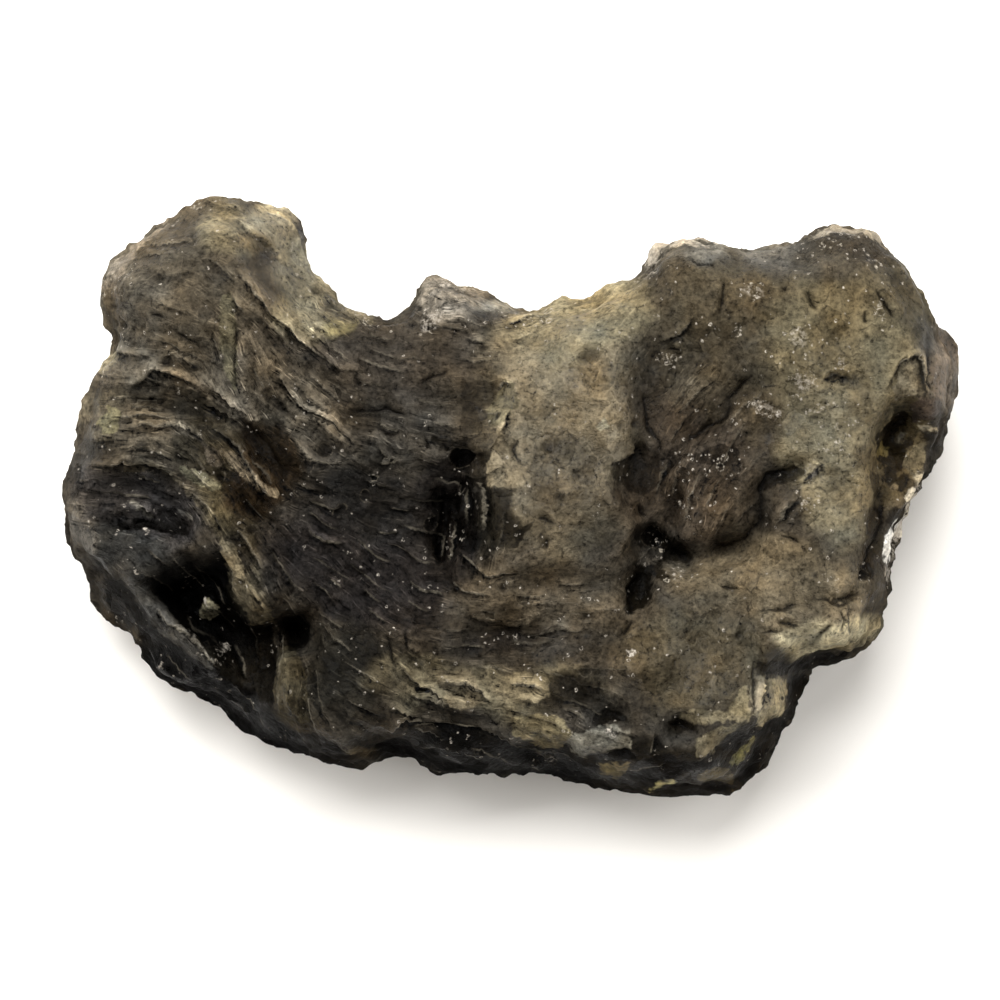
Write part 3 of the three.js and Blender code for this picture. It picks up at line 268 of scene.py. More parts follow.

# Tones of the glass, with painted shade in a few where noted: name, colour, share, x, y, half length,
# half width, turn in degrees. Later ones lie on top.

TONES = [
    ("smoky middle", "#3b362f", 1.0, -5.0, 0.5, 7.0, 6.5, 0),
    ("grey brown left lobe", "#4b4439", 1.0, -12.6, 8.2, 4.2, 3.4, 25),
    ("dark corner of the lobe", "#575045", 0.8, -15.0, 7.2, 1.4, 1.8, 0),
    ("olive top of the lobe", "#6d6552", 0.9, -10.9, 10.4, 1.4, 1.1, 10),
    ("pale clear tip of the lobe", "#a0967e", 0.95, -9.0, 9.9, 0.9, 1.9, 0),
    ("brown smudge of the tip", "#77694f", 0.9, -9.9, 9.8, 0.8, 0.5, 10),
    ("olive foot of the tip", "#8d846d", 0.8, -8.3, 8.0, 1.1, 1.8, 20),
    ("left arcs", "#554e43", 1.0, -14.2, 3.6, 3.2, 2.0, 0),
    ("yellowish left rim", "#524b3d", 0.6, -16.2, 3.3, 0.7, 0.9, 0),
    ("fold beside the dark pool", "#363025", 1.0, -11.2, 0.4, 1.3, 3.4, 20),
    ("olive of that fold", "#5a523f", 0.6, -11.7, -0.6, 0.5, 1.4, 15),
    ("brown dark beside the ridge", "#241d15", 0.9, -9.7, 1.8, 0.9, 1.9, 15),
    ("ridges under the lobe", "#574f43", 0.9, -9.0, 4.6, 2.4, 1.8, -40),
    ("bowl of the left side", "#3d3a39", 1.0, -14.7, -0.3, 2.4, 1.2, -8),
    ("facet under the bowl", "#2b2a28", 1.0, -14.8, -2.3, 2.4, 1.0, -12),
    ("grey left edge", "#5a554e", 0.7, -17.1, -1.6, 0.5, 1.4, 20),
    # Painted shade: the left hollow lies low, in the shade of the main mass
    ("black hollow", "#0b0a09", 1.0, -12.3, -4.2, 2.2, 1.7, -35),
    ("slanting ridge", "#343331", 0.9, -13.6, -5.2, 2.4, 0.55, -40),
    # Painted shade: the front left wall faces away from the lamps
    ("front left wall", "#070606", 1.0, -11.4, -8.4, 5.0, 1.2, -33),
    ("pale fold of the hollow", "#4a4437", 0.9, -10.4, -4.0, 0.8, 1.0, -35),
    ("brown facet", "#373024", 0.7, -8.4, -7.6, 0.7, 1.3, 0),
    ("upper middle", "#3d3832", 0.9, -4.4, 5.4, 3.6, 1.6, -8),
    ("lower dark middle", "#242120", 1.0, -5.6, -2.9, 3.8, 2.2, -15),
    ("dark middle band", "#1f1d1b", 0.9, -5.4, -0.4, 3.2, 1.5, -8),
    ("dark beside the scarp", "#1d1a18", 0.95, -2.3, -0.6, 1.1, 2.4, 0),
    ("brown left foot", "#1e1c18", 1.0, -6.6, -6.9, 2.2, 2.0, 0),
    ("olive plateau", "#857963", 1.0, 2.0, 3.4, 2.9, 3.1, -15),
    ("plateau near the bay", "#827860", 0.9, 2.9, 6.6, 2.6, 1.4, 20),
    ("lower plateau", "#675e4e", 1.0, 1.8, -0.2, 2.7, 2.4, 0),
    ("foot of the plateau", "#534b3f", 0.9, 1.6, -4.0, 3.4, 1.6, 0),
    ("upper right", "#4d4537", 1.0, 9.6, 6.6, 4.4, 3.4, 10),
    ("olive of the right lobe", "#756a52", 0.8, 13.0, 5.6, 2.6, 3.4, 20),
    ("grey top facets", "#4b463e", 0.8, 9.4, 9.4, 3.6, 0.8, 0),
    ("far right lobe", "#4e4738", 0.8, 15.4, 7.8, 1.6, 1.8, 30),
    ("smoky right middle", "#40382f", 1.0, 6.9, 1.2, 2.2, 3.2, 15),
    ("dark dip", "#4d463a", 0.8, 7.6, 4.4, 1.7, 1.3, 20),
    ("olive right of the groove", "#7f755e", 1.0, 12.8, 1.4, 1.8, 3.0, 15),
    ("pale right rim", "#6c6255", 0.9, 17.4, 5.0, 0.7, 1.7, 0),
    ("right hollow", "#63563e", 1.0, 15.2, 1.4, 1.1, 2.0, -8),
    ("right low olive", "#665c4b", 1.0, 10.4, -3.6, 3.6, 1.7, 0),
    ("pale blocks", "#c2b696", 0.9, 12.4, -5.2, 2.0, 0.8, 0),
    ("brown groove", "#2e2518", 0.9, 14.4, -1.9, 0.45, 1.3, -12),
    ("lower lobe", "#5a5140", 1.0, 7.2, -6.6, 3.2, 1.8, -5),
    ("low middle ledges", "#5d5646", 1.0, -1.2, -7.5, 4.0, 0.9, -6),
    ("dark notch of the middle", "#25211d", 0.9, -0.4, -5.6, 2.0, 0.45, 0),
    ("dark between the ledges", "#221e18", 0.9, 2.4, -8.2, 1.2, 0.5, -10),
    # Painted shade over the dark glass: the bottom wall and the dark low right face away from the lamps
    ("bottom wall", "#0b0906", 1.0, -0.4, -10.4, 6.0, 1.1, -6),
    ("tan patch of the wall", "#5f523b", 0.7, -6.3, -10.3, 0.7, 0.4, 0),
    ("dark low right", "#16130e", 1.0, 5.8, -10.3, 3.4, 0.8, -5),
    ("bay glass", "#857b58", 0.8, -6.8, 7.5, 0.6, 0.6, 0),
    ("blue grey facets of the bay", "#85827a", 0.8, -0.4, 7.4, 1.0, 0.5, -30),
]
TONE_SOFTNESS = 0.35
TONE_SHARE = 0.5          # the lamps light the table past white, so the glass itself is darker than it looks
TONE_WANDER = [(2.2, 0.7, 301), (0.8, 0.28, 311)]    # lump size, shift, seed

# Soft patches: name, colour, share, softness of the outline in mm, and the outline

PATCHES = [
    ("bowl of the left side", "#3e3b3a", 0.9, 0.25, [(-16.8, 0.1), (-16.0, 0.7), (-14.5, 1.0), (-13.0, 0.3),
     (-12.2, -0.6), (-12.6, -1.5), (-14.0, -1.5), (-15.6, -1.0), (-16.8, -0.8)]),
    ("brown dark beside the ridge", "#2c2318", 0.95, 0.2, [(-10.7, 3.0), (-9.1, 3.0), (-8.3, 2.1), (-8.2, 1.2),
     (-8.9, -0.2), (-9.8, -0.8), (-11.2, -0.4), (-11.0, 0.9), (-10.4, 1.8)]),
    ("fibred foot of the scarp", "#2b2720", 0.9, 0.2, [(-1.1, 0.4), (-0.2, 0.3), (0.0, -0.6), (0.5, -1.3),
     (-0.3, -1.9), (-1.2, -2.1)]),
    ("pale crusted rim of the middle", "#71695e", 0.9, 0.2, [(-3.9, 8.6), (-3.5, 7.3), (-2.6, 6.7), (-1.2, 7.4),
     (-0.9, 8.7)]),
    ("pale glass of the bay rim", "#665f50", 0.9, 0.15, [(-7.3, 8.2), (-6.6, 7.6), (-5.5, 7.2), (-5.5, 6.8),
     (-6.6, 6.9), (-7.3, 7.5)]),
    ("pale spot of the left rim", "#8a806a", 0.9, 0.15, [(-16.6, 4.9), (-16.4, 5.8), (-15.7, 5.8), (-15.6, 5.3),
     (-16.1, 4.9)]),
    ("grey facet of the top", "#6f6b63", 0.8, 0.12, [(6.8, 9.7), (8.1, 9.9), (8.5, 9.7), (7.6, 9.2), (6.9, 9.4)]),
    ("grey triangle of the top", "#67625a", 0.8, 0.2, [(9.0, 9.6), (11.0, 10.1), (11.4, 9.8), (10.6, 8.9),
     (9.8, 9.0)]),
    ("pale right rim", "#75685a", 0.9, 0.2, [(16.9, 6.6), (17.8, 5.7), (18.0, 4.6), (17.4, 3.5), (16.6, 4.1),
     (16.4, 4.9), (16.8, 5.7)]),
    # Painted shade on the bottom wall, which faces away from the lamps, over its brown glass
    ("brown black of the bottom", "#1f1a12", 0.9, 0.2, [(2.8, -10.2), (4.4, -10.2), (7.1, -9.9), (8.4, -9.6),
     (9.4, -9.2), (10.6, -9.4), (9.6, -12.0), (6.8, -12.4), (3.2, -12.0)]),
    ("brown groove", "#2a2419", 0.9, 0.12, [(14.3, -1.0), (14.8, -0.9), (14.8, -2.0), (14.7, -2.5), (14.0, -2.1),
     (14.2, -1.5)]),
]

# Black hollows and slots with crisp edges: name, share, outline. They are partly the glass's own black and partly
# painted shade: in the low hollows, slots and pits, under edges, and on walls that face away from the lamps.

DARK_SHAPES = [
    # Painted shade of the low front-left hollow, in the shade of the main mass
    ("hollow of the left side", 1.0, [(-14.3, -4.0), (-13.9, -3.5), (-13.2, -3.4), (-12.5, -2.8), (-11.7, -2.8),
     (-11.4, -3.3), (-10.6, -4.7), (-9.5, -5.1), (-9.35, -6.9), (-9.4, -8.7), (-10.9, -7.7), (-11.9, -6.6),
     (-13.3, -4.9)]),
    ("beyond the slanting ridge", 1.0, [(-16.2, -3.3), (-15.4, -3.2), (-15.2, -3.8), (-13.7, -5.4), (-12.4, -6.5),
     (-11.6, -7.0), (-9.4, -8.7), (-10.9, -8.6), (-12.3, -8.1), (-13.7, -7.3), (-14.6, -6.5), (-14.8, -5.2),
     (-15.7, -4.9), (-16.2, -4.1)]),
    # Painted shade on the front wall, which faces away from the lamps
    ("patch of the front wall", 1.0, [(-9.8, -9.1), (-8.9, -9.2), (-7.4, -9.4), (-6.6, -9.9), (-6.7, -10.2),
     (-8.0, -10.1), (-9.4, -9.6)]),
    ("notch by the hollow", 0.9, [(-9.2, -5.0), (-8.6, -4.7), (-8.0, -5.0), (-7.9, -5.6), (-8.4, -6.0), (-9.1, -5.9)]),
    ("arch in the left bowl", 0.95, [(-15.6, -1.1), (-14.8, -0.9), (-14.0, -0.9), (-12.9, -1.1), (-12.7, -1.5),
     (-13.2, -1.5), (-14.2, -1.15), (-15.3, -1.3)]),
    ("left bowl", 0.3, [(-16.8, 0.1), (-16.3, 0.7), (-15.4, 1.05), (-14.5, 0.9), (-13.3, 0.4), (-12.6, -0.3),
     (-12.2, -0.6), (-12.6, -1.2), (-14.0, -0.9), (-15.3, -1.0), (-16.8, -0.9)]),
    ("upper flake of the arcs", 0.5, [(-15.2, 4.2), (-14.3, 4.9), (-13.7, 4.95), (-12.5, 4.3), (-11.7, 3.9),
     (-11.0, 3.3), (-12.0, 3.0), (-13.0, 3.4), (-14.3, 3.6), (-15.1, 3.9)]),
    ("slit over the arcs", 0.7, [(-13.8, 5.3), (-12.6, 5.3), (-11.7, 4.6), (-11.5, 4.5), (-12.2, 4.9), (-13.2, 5.05)]),
    ("middle flake of the arcs", 0.5, [(-12.9, 2.9), (-12.0, 3.2), (-11.3, 3.0), (-10.6, 2.0), (-10.9, 1.9),
     (-11.9, 2.6), (-12.7, 2.7)]),
    ("lower flake of the arcs", 0.45, [(-14.9, 1.9), (-14.2, 2.1), (-13.0, 2.1), (-12.6, 1.7), (-12.9, 1.2),
     (-13.6, 1.6), (-14.4, 1.6)]),
    ("pool under the ridges", 0.65, [(-10.9, 2.4), (-10.1, 3.05), (-9.2, 3.1), (-8.8, 2.6), (-8.6, 1.4), (-9.0, 0.6),
     (-9.8, 1.3), (-10.5, 1.7)]),
    ("pocket of the fold", 0.7, [(-11.4, 0.7), (-10.9, 1.1), (-10.3, 0.8), (-10.0, 0.4), (-10.3, -0.3), (-11.0, -0.2),
     (-11.4, 0.2)]),
    ("flake beside the fold", 0.6, [(-9.8, 0.4), (-9.0, 0.1), (-8.9, -0.5), (-9.3, -0.9), (-10.4, -0.6)]),
    ("dark rim of the left", 0.5, [(-16.8, 4.6), (-16.0, 4.5), (-14.6, 4.4), (-15.2, 4.1), (-16.7, 4.2)]),
    ("left of the plateau's corner", 0.5, [(-1.9, 4.5), (-0.3, 4.55), (-0.9, 3.4), (-1.0, 2.95), (-0.55, 2.65),
     (-0.35, 2.3), (-0.65, 1.9), (-0.95, 1.3), (-1.0, 0.4), (-1.8, 0.4), (-1.9, 2.2)]),
    ("line of the plateau's corner", 0.7, [(-0.95, 3.3), (-0.6, 4.1), (-0.25, 4.55), (-0.1, 4.5), (-0.45, 4.05),
     (-0.8, 3.3)]),
    ("fibred foot of the scarp", 0.65, [(-1.1, 0.3), (-0.4, 0.35), (0.05, 0.2), (0.0, -0.5), (0.45, -1.0),
     (0.3, -1.6), (0.0, -2.0), (-0.6, -2.0), (-1.2, -2.2)]),
    ("smoky step under the plateau", 0.35, [(1.0, -1.0), (2.6, -1.05), (4.2, -0.9), (4.6, -2.0), (2.8, -2.2),
     (1.6, -1.6)]),
    ("under the pale ledges", 0.75, [(-4.0, -8.6), (-2.0, -8.9), (-0.5, -9.1), (0.0, -9.8), (0.2, -10.3),
     (-2.0, -9.9), (-4.2, -9.5)]),
    ("beside the pale ledges", 0.5, [(1.7, -6.95), (3.0, -6.6), (3.5, -7.0), (3.2, -7.8), (2.9, -8.3), (2.0, -7.7)]),
    ("pocket by the scarp", 0.9, [(-3.2, 2.6), (-2.9, 2.4), (-2.2, 2.2), (-1.6, 2.2), (-1.3, 2.5), (-1.2, 2.9),
     (-0.9, 2.7), (-0.9, 2.3), (-1.2, 2.1), (-0.6, 1.9), (-0.8, 1.4), (-1.1, 1.0), (-1.4, 1.2), (-2.0, 1.0),
     (-2.4, 1.3), (-2.3, 1.8), (-3.1, 2.2)]),
    ("scarp", 0.88, [(-2.9, 0.0), (-2.2, 0.1), (-1.1, 0.2), (-1.1, -0.5), (-1.2, -1.3), (-1.1, -2.0), (-1.9, -2.2),
     (-2.1, -1.8), (-2.5, -1.3), (-2.4, -2.5), (-2.9, -2.7), (-3.1, -1.8), (-2.9, -1.0), (-2.7, -0.6)]),
    ("sliver of the scarp's foot", 0.9, [(-0.8, -1.0), (-0.4, -1.0), (-0.6, -1.5), (-0.9, -1.9), (-1.05, -1.5)]),
    ("curved slit of the foot", 0.95, [(0.5, -1.1), (0.85, -1.0), (0.5, -1.5), (0.25, -2.0), (0.0, -2.0), (0.2, -1.4)]),
    ("slit above the foot", 0.8, [(-0.3, 0.3), (0.2, 0.3), (-0.1, -0.2)]),
    ("slit of the plateau's foot", 0.7, [(0.9, -1.5), (1.5, -1.5), (1.4, -2.1), (1.25, -2.1), (1.2, -1.7)]),
    ("wedge east of the plateau", 0.75, [(3.7, 1.1), (4.2, 1.3), (4.9, 1.9), (5.2, 1.3), (6.0, 1.3), (5.9, 0.6),
     (5.3, 0.1), (4.8, 0.2), (4.3, 0.6)]),
    ("dips of the right middle", 0.8, [(6.8, 1.6), (7.4, 1.7), (8.3, 2.1), (8.9, 1.9), (9.0, 1.4), (8.2, 1.2),
     (7.2, 1.4)]),
    ("ring of the nodule", 0.9, [(4.9, -1.2), (5.5, -1.0), (6.4, -1.6), (6.9, -2.1), (7.2, -2.3), (7.0, -2.6),
     (6.3, -2.4), (6.0, -2.5), (5.9, -2.8), (6.4, -3.3), (6.1, -3.4), (5.6, -3.1), (5.0, -2.9), (4.7, -2.6),
     (5.0, -2.4), (5.2, -2.0), (5.0, -1.6)]),
    ("slot under the nodule", 1.0, [(4.85, -2.85), (5.3, -2.85), (5.5, -3.1), (5.5, -4.0), (5.2, -4.4), (4.9, -4.5),
     (4.5, -4.7), (4.55, -4.1), (4.65, -3.5)]),
    ("shade under the groove's rim", 0.9, [(9.7, 0.2), (10.1, 1.0), (11.0, 1.2), (11.7, 1.0), (11.1, 0.6),
     (10.4, 0.4)]),
    ("shade of the low bowl", 0.8, [(12.2, 4.5), (12.5, 4.9), (13.0, 5.0), (13.4, 4.85), (13.4, 4.65), (12.8, 4.75)]),
    ("crack over the right facet", 0.9, [(14.8, 4.3), (15.1, 4.7), (15.4, 5.4), (15.6, 5.6), (15.5, 5.3),
     (15.2, 4.6), (15.0, 4.4)]),
    ("shade right of the facet", 0.75, [(15.8, 5.65), (16.1, 5.5), (16.45, 4.3), (16.3, 4.1), (16.05, 5.1)]),
    ("cleft of the right hollow", 1.0, [(14.5, 2.5), (15.0, 3.0), (15.3, 3.0), (15.4, 3.4), (15.75, 3.4),
     (15.75, 2.9), (15.4, 2.75), (15.3, 2.2), (15.5, 2.1), (15.9, 2.5), (16.0, 2.1), (15.7, 1.9), (15.7, 1.4),
     (15.4, 1.1), (15.2, 0.6), (15.7, 0.9), (15.8, 0.6), (15.5, 0.1), (15.0, 0.4), (14.7, 0.6), (14.9, 1.2),
     (14.55, 1.6), (14.4, 2.1)]),
    ("edge of the brown groove", 0.9, [(14.15, 1.0), (14.5, 0.9), (14.6, 0.3), (14.7, 0.0), (14.3, 0.0),
     (14.15, 0.5)]),
    ("slit of the brown groove", 1.0, [(14.45, -0.3), (14.75, -0.35), (14.65, -0.8), (14.5, -0.8)]),
    ("foot of the right hollow", 0.8, [(14.9, -0.5), (15.5, -0.5), (15.1, -1.2), (14.9, -1.0)]),
    ("slot of the brown groove", 0.9, [(13.8, -2.7), (14.3, -2.6), (14.3, -3.1), (14.1, -3.25), (13.8, -3.2)]),
    ("dip on the right", 0.9, [(16.3, 2.7), (16.8, 2.55), (16.9, 2.2), (16.5, 2.3)]),
    ("pit on the right", 0.9, [(16.6, 1.6), (16.85, 1.4), (16.7, 0.9), (16.5, 1.0)]),
    ("under the block edge", 0.95, [(9.65, -6.5), (10.6, -6.55), (11.3, -6.55), (11.6, -6.3), (12.0, -6.45),
     (12.6, -6.3), (13.6, -6.2), (13.4, -6.6), (11.9, -6.8), (11.5, -6.9), (10.5, -7.0), (9.7, -7.05)]),
    ("arched pit of the lower lobe", 1.0, [(3.25, -8.9), (3.35, -8.5), (3.7, -8.3), (4.2, -8.45), (4.6, -8.7),
     (4.4, -8.85), (4.0, -8.75), (3.8, -8.9), (3.4, -9.0)]),
    ("wedge of the lower lobe", 0.6, [(6.0, -8.9), (6.5, -8.65), (7.0, -8.85), (7.3, -9.05), (6.6, -9.2),
     (6.2, -9.35)]),
    ("hollow of the corner", 0.85, [(8.3, -9.7), (8.5, -9.3), (8.9, -9.2), (9.8, -9.2), (10.3, -9.1), (10.2, -9.4),
     (9.4, -9.5), (9.1, -9.8), (8.9, -10.0), (8.4, -9.9)]),
    ("black of the corner", 1.0, [(10.2, -8.8), (10.7, -8.7), (11.1, -8.7), (10.9, -9.4), (10.6, -9.5),
     (10.3, -9.2)]),
    # Painted shade on the lower lobe's wall and on the bottom wall, which face away from the lamps
    ("wall of the lower lobe", 1.0, [(10.9, -7.8), (11.1, -7.1), (12.0, -7.1), (11.9, -8.6), (10.6, -10.4),
     (10.4, -10.2), (11.2, -8.9), (10.9, -8.7), (11.1, -8.2)]),
    ("upper band of the bottom", 1.0, [(3.5, -10.1), (4.8, -10.05), (4.9, -10.3), (4.0, -10.4), (3.4, -10.35)]),
    ("lower band of the bottom", 1.0, [(4.8, -10.6), (5.6, -10.2), (6.3, -10.1), (6.9, -10.5), (8.2, -10.4),
     (8.4, -10.6), (6.8, -10.8), (6.5, -11.1), (5.6, -11.2), (4.8, -11.1)]),
    ("left end of the bottom", 0.9, [(1.0, -10.4), (2.0, -10.5), (3.4, -10.5), (3.7, -11.2), (2.8, -11.5),
     (1.2, -10.9)]),
    ("right end of the bottom", 0.95, [(9.0, -10.6), (9.5, -10.3), (9.9, -9.8), (10.2, -10.0), (9.7, -10.6),
     (9.7, -11.2), (9.3, -11.7), (9.1, -11.2)]),
]

# Pale facets and spots with crisp edges: name, colour, outline

PALE_SHAPES = [
    ("rim of the top", "#8d8375", [(5.2, 9.3), (5.5, 10.1), (6.4, 10.25), (7.2, 10.45), (8.2, 10.25), (8.5, 9.95),
     (7.0, 9.95), (6.0, 9.95), (5.6, 9.3)]),
    ("rim of the top corner", "#7d7466", [(11.8, 10.2), (12.8, 10.9), (13.7, 10.9), (14.9, 10.3), (15.5, 9.5),
     (14.7, 10.1), (13.5, 10.6), (12.8, 10.5)]),
    ("rim of the left lobe", "#71685c", [(-16.2, 8.2), (-15.8, 9.2), (-15.1, 9.7), (-14.6, 10.3), (-13.6, 11.1),
     (-13.8, 10.7), (-14.6, 9.9), (-15.2, 9.2), (-15.7, 8.3)]),
    ("slab of the left lobe", "#5d5746", [(-11.3, 7.9), (-10.85, 8.0), (-10.75, 6.5), (-10.8, 4.2), (-11.1, 4.6),
     (-11.4, 6.2)]),
    ("upper ridge of the arcs", "#655c4f", [(-13.6, 5.1), (-12.5, 4.7), (-11.3, 4.0), (-10.4, 3.35), (-9.9, 3.1),
     (-10.3, 3.0), (-11.4, 3.6), (-12.6, 4.25), (-13.7, 4.75)]),
    ("left blade of the arcs", "#5f5b4b", [(-12.9, 1.2), (-12.0, 0.95), (-11.4, 0.35), (-11.7, 0.25), (-12.4, 0.5),
     (-12.9, 0.85)]),
    ("right blade of the arcs", "#5f564a", [(-12.1, 2.1), (-11.6, 1.9), (-11.25, 1.3), (-11.5, 1.15),
     (-11.95, 1.55)]),
    ("middle ridge of the arcs", "#655b4c", [(-11.4, 1.9), (-10.6, 1.65), (-10.0, 0.75), (-9.1, 0.15), (-9.2, -0.05),
     (-10.2, 0.45), (-10.9, 1.15)]),
    ("yellow patch of the left rim", "#6f6850", [(-16.3, 2.9), (-15.8, 3.6), (-15.4, 3.4), (-15.5, 2.5),
     (-15.9, 2.4)]),
    ("ridge over the left bowl", "#544d41", [(-15.2, 1.1), (-14.0, 1.0), (-13.0, 0.5), (-12.2, -0.4), (-12.0, -0.5),
     (-12.4, 0.2), (-13.2, 0.95), (-14.2, 1.45), (-15.2, 1.4)]),
    ("thin ridge of the arcs", "#5e564a", [(-15.0, 2.75), (-13.8, 2.85), (-13.0, 2.75), (-12.2, 2.3), (-12.9, 2.45),
     (-13.8, 2.6), (-15.0, 2.6)]),
    ("facet of the plateau's corner", "#655d49", [(-0.25, 4.5), (0.1, 4.4), (0.4, 3.6), (0.05, 3.3), (-0.5, 2.75),
     (-0.95, 3.0), (-0.85, 3.4)]),
    ("edge of the plateau", "#7f7460", [(0.05, 3.25), (0.6, 3.3), (0.9, 2.0), (0.7, 0.45), (-0.3, 0.4), (-0.95, 0.45),
     (-0.9, 1.3), (-0.6, 1.95), (-0.3, 2.4), (-0.2, 2.9)]),
    ("left pale ledge", "#655c4b", [(-2.9, -6.9), (-1.6, -6.75), (-1.2, -7.5), (-1.0, -8.1), (-2.4, -8.2)]),
    ("middle pale ledge", "#6e6552", [(-0.9, -7.4), (0.3, -6.9), (1.4, -7.1), (1.5, -7.8), (0.5, -8.2),
     (-0.4, -8.0)]),
    ("leaf of the left bowl", "#6a665f", [(-15.0, -0.1), (-14.6, -0.25), (-14.15, -0.8), (-14.45, -0.7),
     (-14.9, -0.4)]),
    ("chip of the left bowl", "#77736d", [(-13.1, -0.5), (-12.5, -0.7), (-12.4, -0.85), (-12.9, -0.8)]),
    ("wide facet of the lower lobe", "#7d7259", [(8.6, -8.3), (9.1, -7.45), (9.3, -7.4), (9.35, -8.8), (8.8, -8.75)]),
    ("nodule of the left hollow", "#7d7661", [(-12.4, -4.4), (-12.1, -4.0), (-11.7, -4.2), (-11.65, -4.7),
     (-12.0, -4.9), (-12.35, -4.8)]),
    ("slanting ridge", "#3b3a38", [(-15.0, -3.2), (-14.4, -3.6), (-13.4, -4.6), (-12.4, -5.9), (-11.7, -6.6),
     (-11.6, -7.0), (-12.3, -6.6), (-13.7, -5.3), (-15.1, -3.8)]),
    ("fold of the left hollow", "#6b6250", [(-11.4, -1.6), (-10.8, -2.0), (-10.4, -3.2), (-9.6, -4.4), (-9.3, -4.9),
     (-10.2, -4.9), (-10.9, -4.0), (-11.2, -3.0)]),
    ("fibred foot of the left", "#342f24", [(-9.2, -6.0), (-8.6, -5.9), (-8.0, -7.2), (-7.9, -8.8), (-9.1, -8.9),
     (-9.3, -7.5)]),
    ("facet above the right hollow", "#6a6252", [(15.0, 4.2), (15.5, 5.3), (15.9, 5.6), (16.1, 5.2), (16.0, 4.5),
     (15.9, 4.0), (15.2, 3.8)]),
    ("brown facet of the hollow", "#4a4038", [(15.85, 3.6), (16.2, 3.9), (16.9, 3.9), (17.0, 3.4), (16.7, 3.1),
     (16.0, 3.0), (15.85, 3.0)]),
    ("gold spot", "#85754a", [(14.45, 1.9), (14.7, 2.25), (14.75, 2.0), (15.0, 1.9), (14.95, 1.65), (14.5, 1.7)]),
    ("tan column", "#7d7159", [(15.75, 1.75), (16.1, 2.1), (16.5, 2.1), (16.45, 1.6), (16.4, 1.1), (16.1, 1.0),
     (15.75, 1.0), (15.65, 1.3)]),
    ("foot of the tan column", "#938a78", [(16.0, 0.95), (16.4, 1.0), (16.35, 0.5), (16.1, 0.4), (16.0, 0.7)]),
    ("spot of the hollow", "#7a6b52", [(15.05, 0.4), (15.3, 0.55), (15.35, 0.3), (15.1, 0.15)]),
    ("arched crest", "#8b8270", [(15.3, 2.2), (15.4, 2.5), (15.75, 2.7), (15.65, 2.5), (15.4, 2.1)]),
    ("leaf on the right", "#a89a80", [(16.2, 2.85), (16.5, 2.8), (16.9, 2.65), (16.5, 2.6)]),
    ("strip of the right rim", "#7a705f", [(16.3, 5.9), (16.5, 5.2), (16.65, 4.5), (16.7, 3.95), (16.5, 4.2),
     (16.4, 4.8), (16.3, 5.4)]),
    ("upper white bubbles", "#cdc5b5", [(15.55, 0.1), (15.9, 0.3), (16.3, 0.1), (16.2, -0.3), (16.0, -0.8),
     (15.7, -0.7), (15.8, -0.3)]),
    ("middle white bubbles", "#f2eee8", [(15.2, -1.1), (15.5, -0.75), (15.75, -0.8), (15.75, -1.2), (15.6, -1.7),
     (15.4, -1.5)]),
    ("lower white bubbles", "#e8e3dc", [(14.85, -1.6), (15.1, -1.3), (15.3, -1.5), (15.15, -2.1), (15.05, -2.7),
     (14.85, -2.5), (14.8, -2.0)]),
    ("foot of the white bubbles", "#9a9288", [(14.95, -2.8), (15.3, -2.95), (15.4, -3.4), (15.1, -3.3),
     (14.9, -3.0)]),
    ("grey facet by the arched pit", "#6c675c", [(2.2, -9.6), (2.9, -9.2), (4.0, -9.0), (4.6, -9.2), (4.7, -9.9),
     (3.6, -10.1), (2.9, -10.1), (2.3, -9.9)]),
    ("tan facet of the lower lobe", "#6c6350", [(7.3, -9.5), (8.2, -9.1), (9.0, -8.9), (8.2, -9.6), (7.9, -10.1),
     (7.3, -10.2)]),
    ("upper tan facet", "#7a705a", [(6.6, -8.6), (7.4, -8.3), (8.3, -8.5), (9.4, -8.4), (9.3, -8.8), (8.5, -8.8),
     (7.2, -8.9)]),
    ("right strip", "#7d7462", [(9.7, -7.1), (9.95, -7.1), (9.95, -8.2), (9.65, -8.8), (9.6, -8.2)]),
    ("left strip", "#7d7462", [(9.35, -7.4), (9.5, -7.2), (9.55, -8.0), (9.45, -8.3)]),
    ("pale facet of the lower lobe", "#a89b7d", [(9.95, -7.3), (10.3, -7.15), (10.95, -7.25), (10.9, -7.8),
     (10.6, -7.95), (10.9, -8.2), (10.85, -8.65), (10.3, -8.75), (10.0, -9.0), (9.7, -9.0), (9.9, -8.2)]),
    # Painted light: gold glints where light shines through the thin glass of the bottom wall
    ("gold grains of the bottom", "#6f6142", [(3.6, -10.5), (4.7, -10.5), (4.6, -10.8), (4.3, -11.1),
     (3.9, -10.9), (3.6, -10.9)]),
    ("bright gold of the bottom", "#a39566", [(5.6, -11.45), (6.0, -11.2), (6.5, -11.1), (6.4, -11.35),
     (6.0, -11.4), (5.5, -11.6)]),
    ("brown gold of the bottom", "#54482f", [(7.4, -11.0), (8.0, -10.7), (8.6, -10.8), (8.9, -11.2), (8.8, -11.5),
     (7.8, -11.3)]),
    ("green gold of the corner", "#6a6440", [(8.7, -10.6), (9.0, -10.0), (9.6, -9.5), (9.7, -9.6), (9.2, -10.3),
     (9.0, -10.6)]),
    ("tan ledge of the middle", "#70664f", [(0.0, -8.7), (1.2, -8.5), (2.0, -8.8), (2.3, -9.3), (2.0, -9.9),
     (1.2, -9.8), (0.2, -9.4)]),
    ("pale chip of the plateau", "#a8a28c", [(3.4, 2.9), (3.7, 3.1), (3.8, 2.7), (3.5, 2.6)]),
    ("nodule", "#4a453e", [(5.0, -2.2), (5.5, -1.9), (6.0, -2.1), (5.9, -2.5), (5.4, -2.7), (5.0, -2.6)]),
]
SHAPE_REACH = 0.5         # mm on either side of an outline over which the distance from it is kept
PATCH_WANDER = [(0.9, 0.16, 321), (0.35, 0.07, 331)]

# Windows where the glass is clear enough to let light through: x, y, half length, half width, turn, share

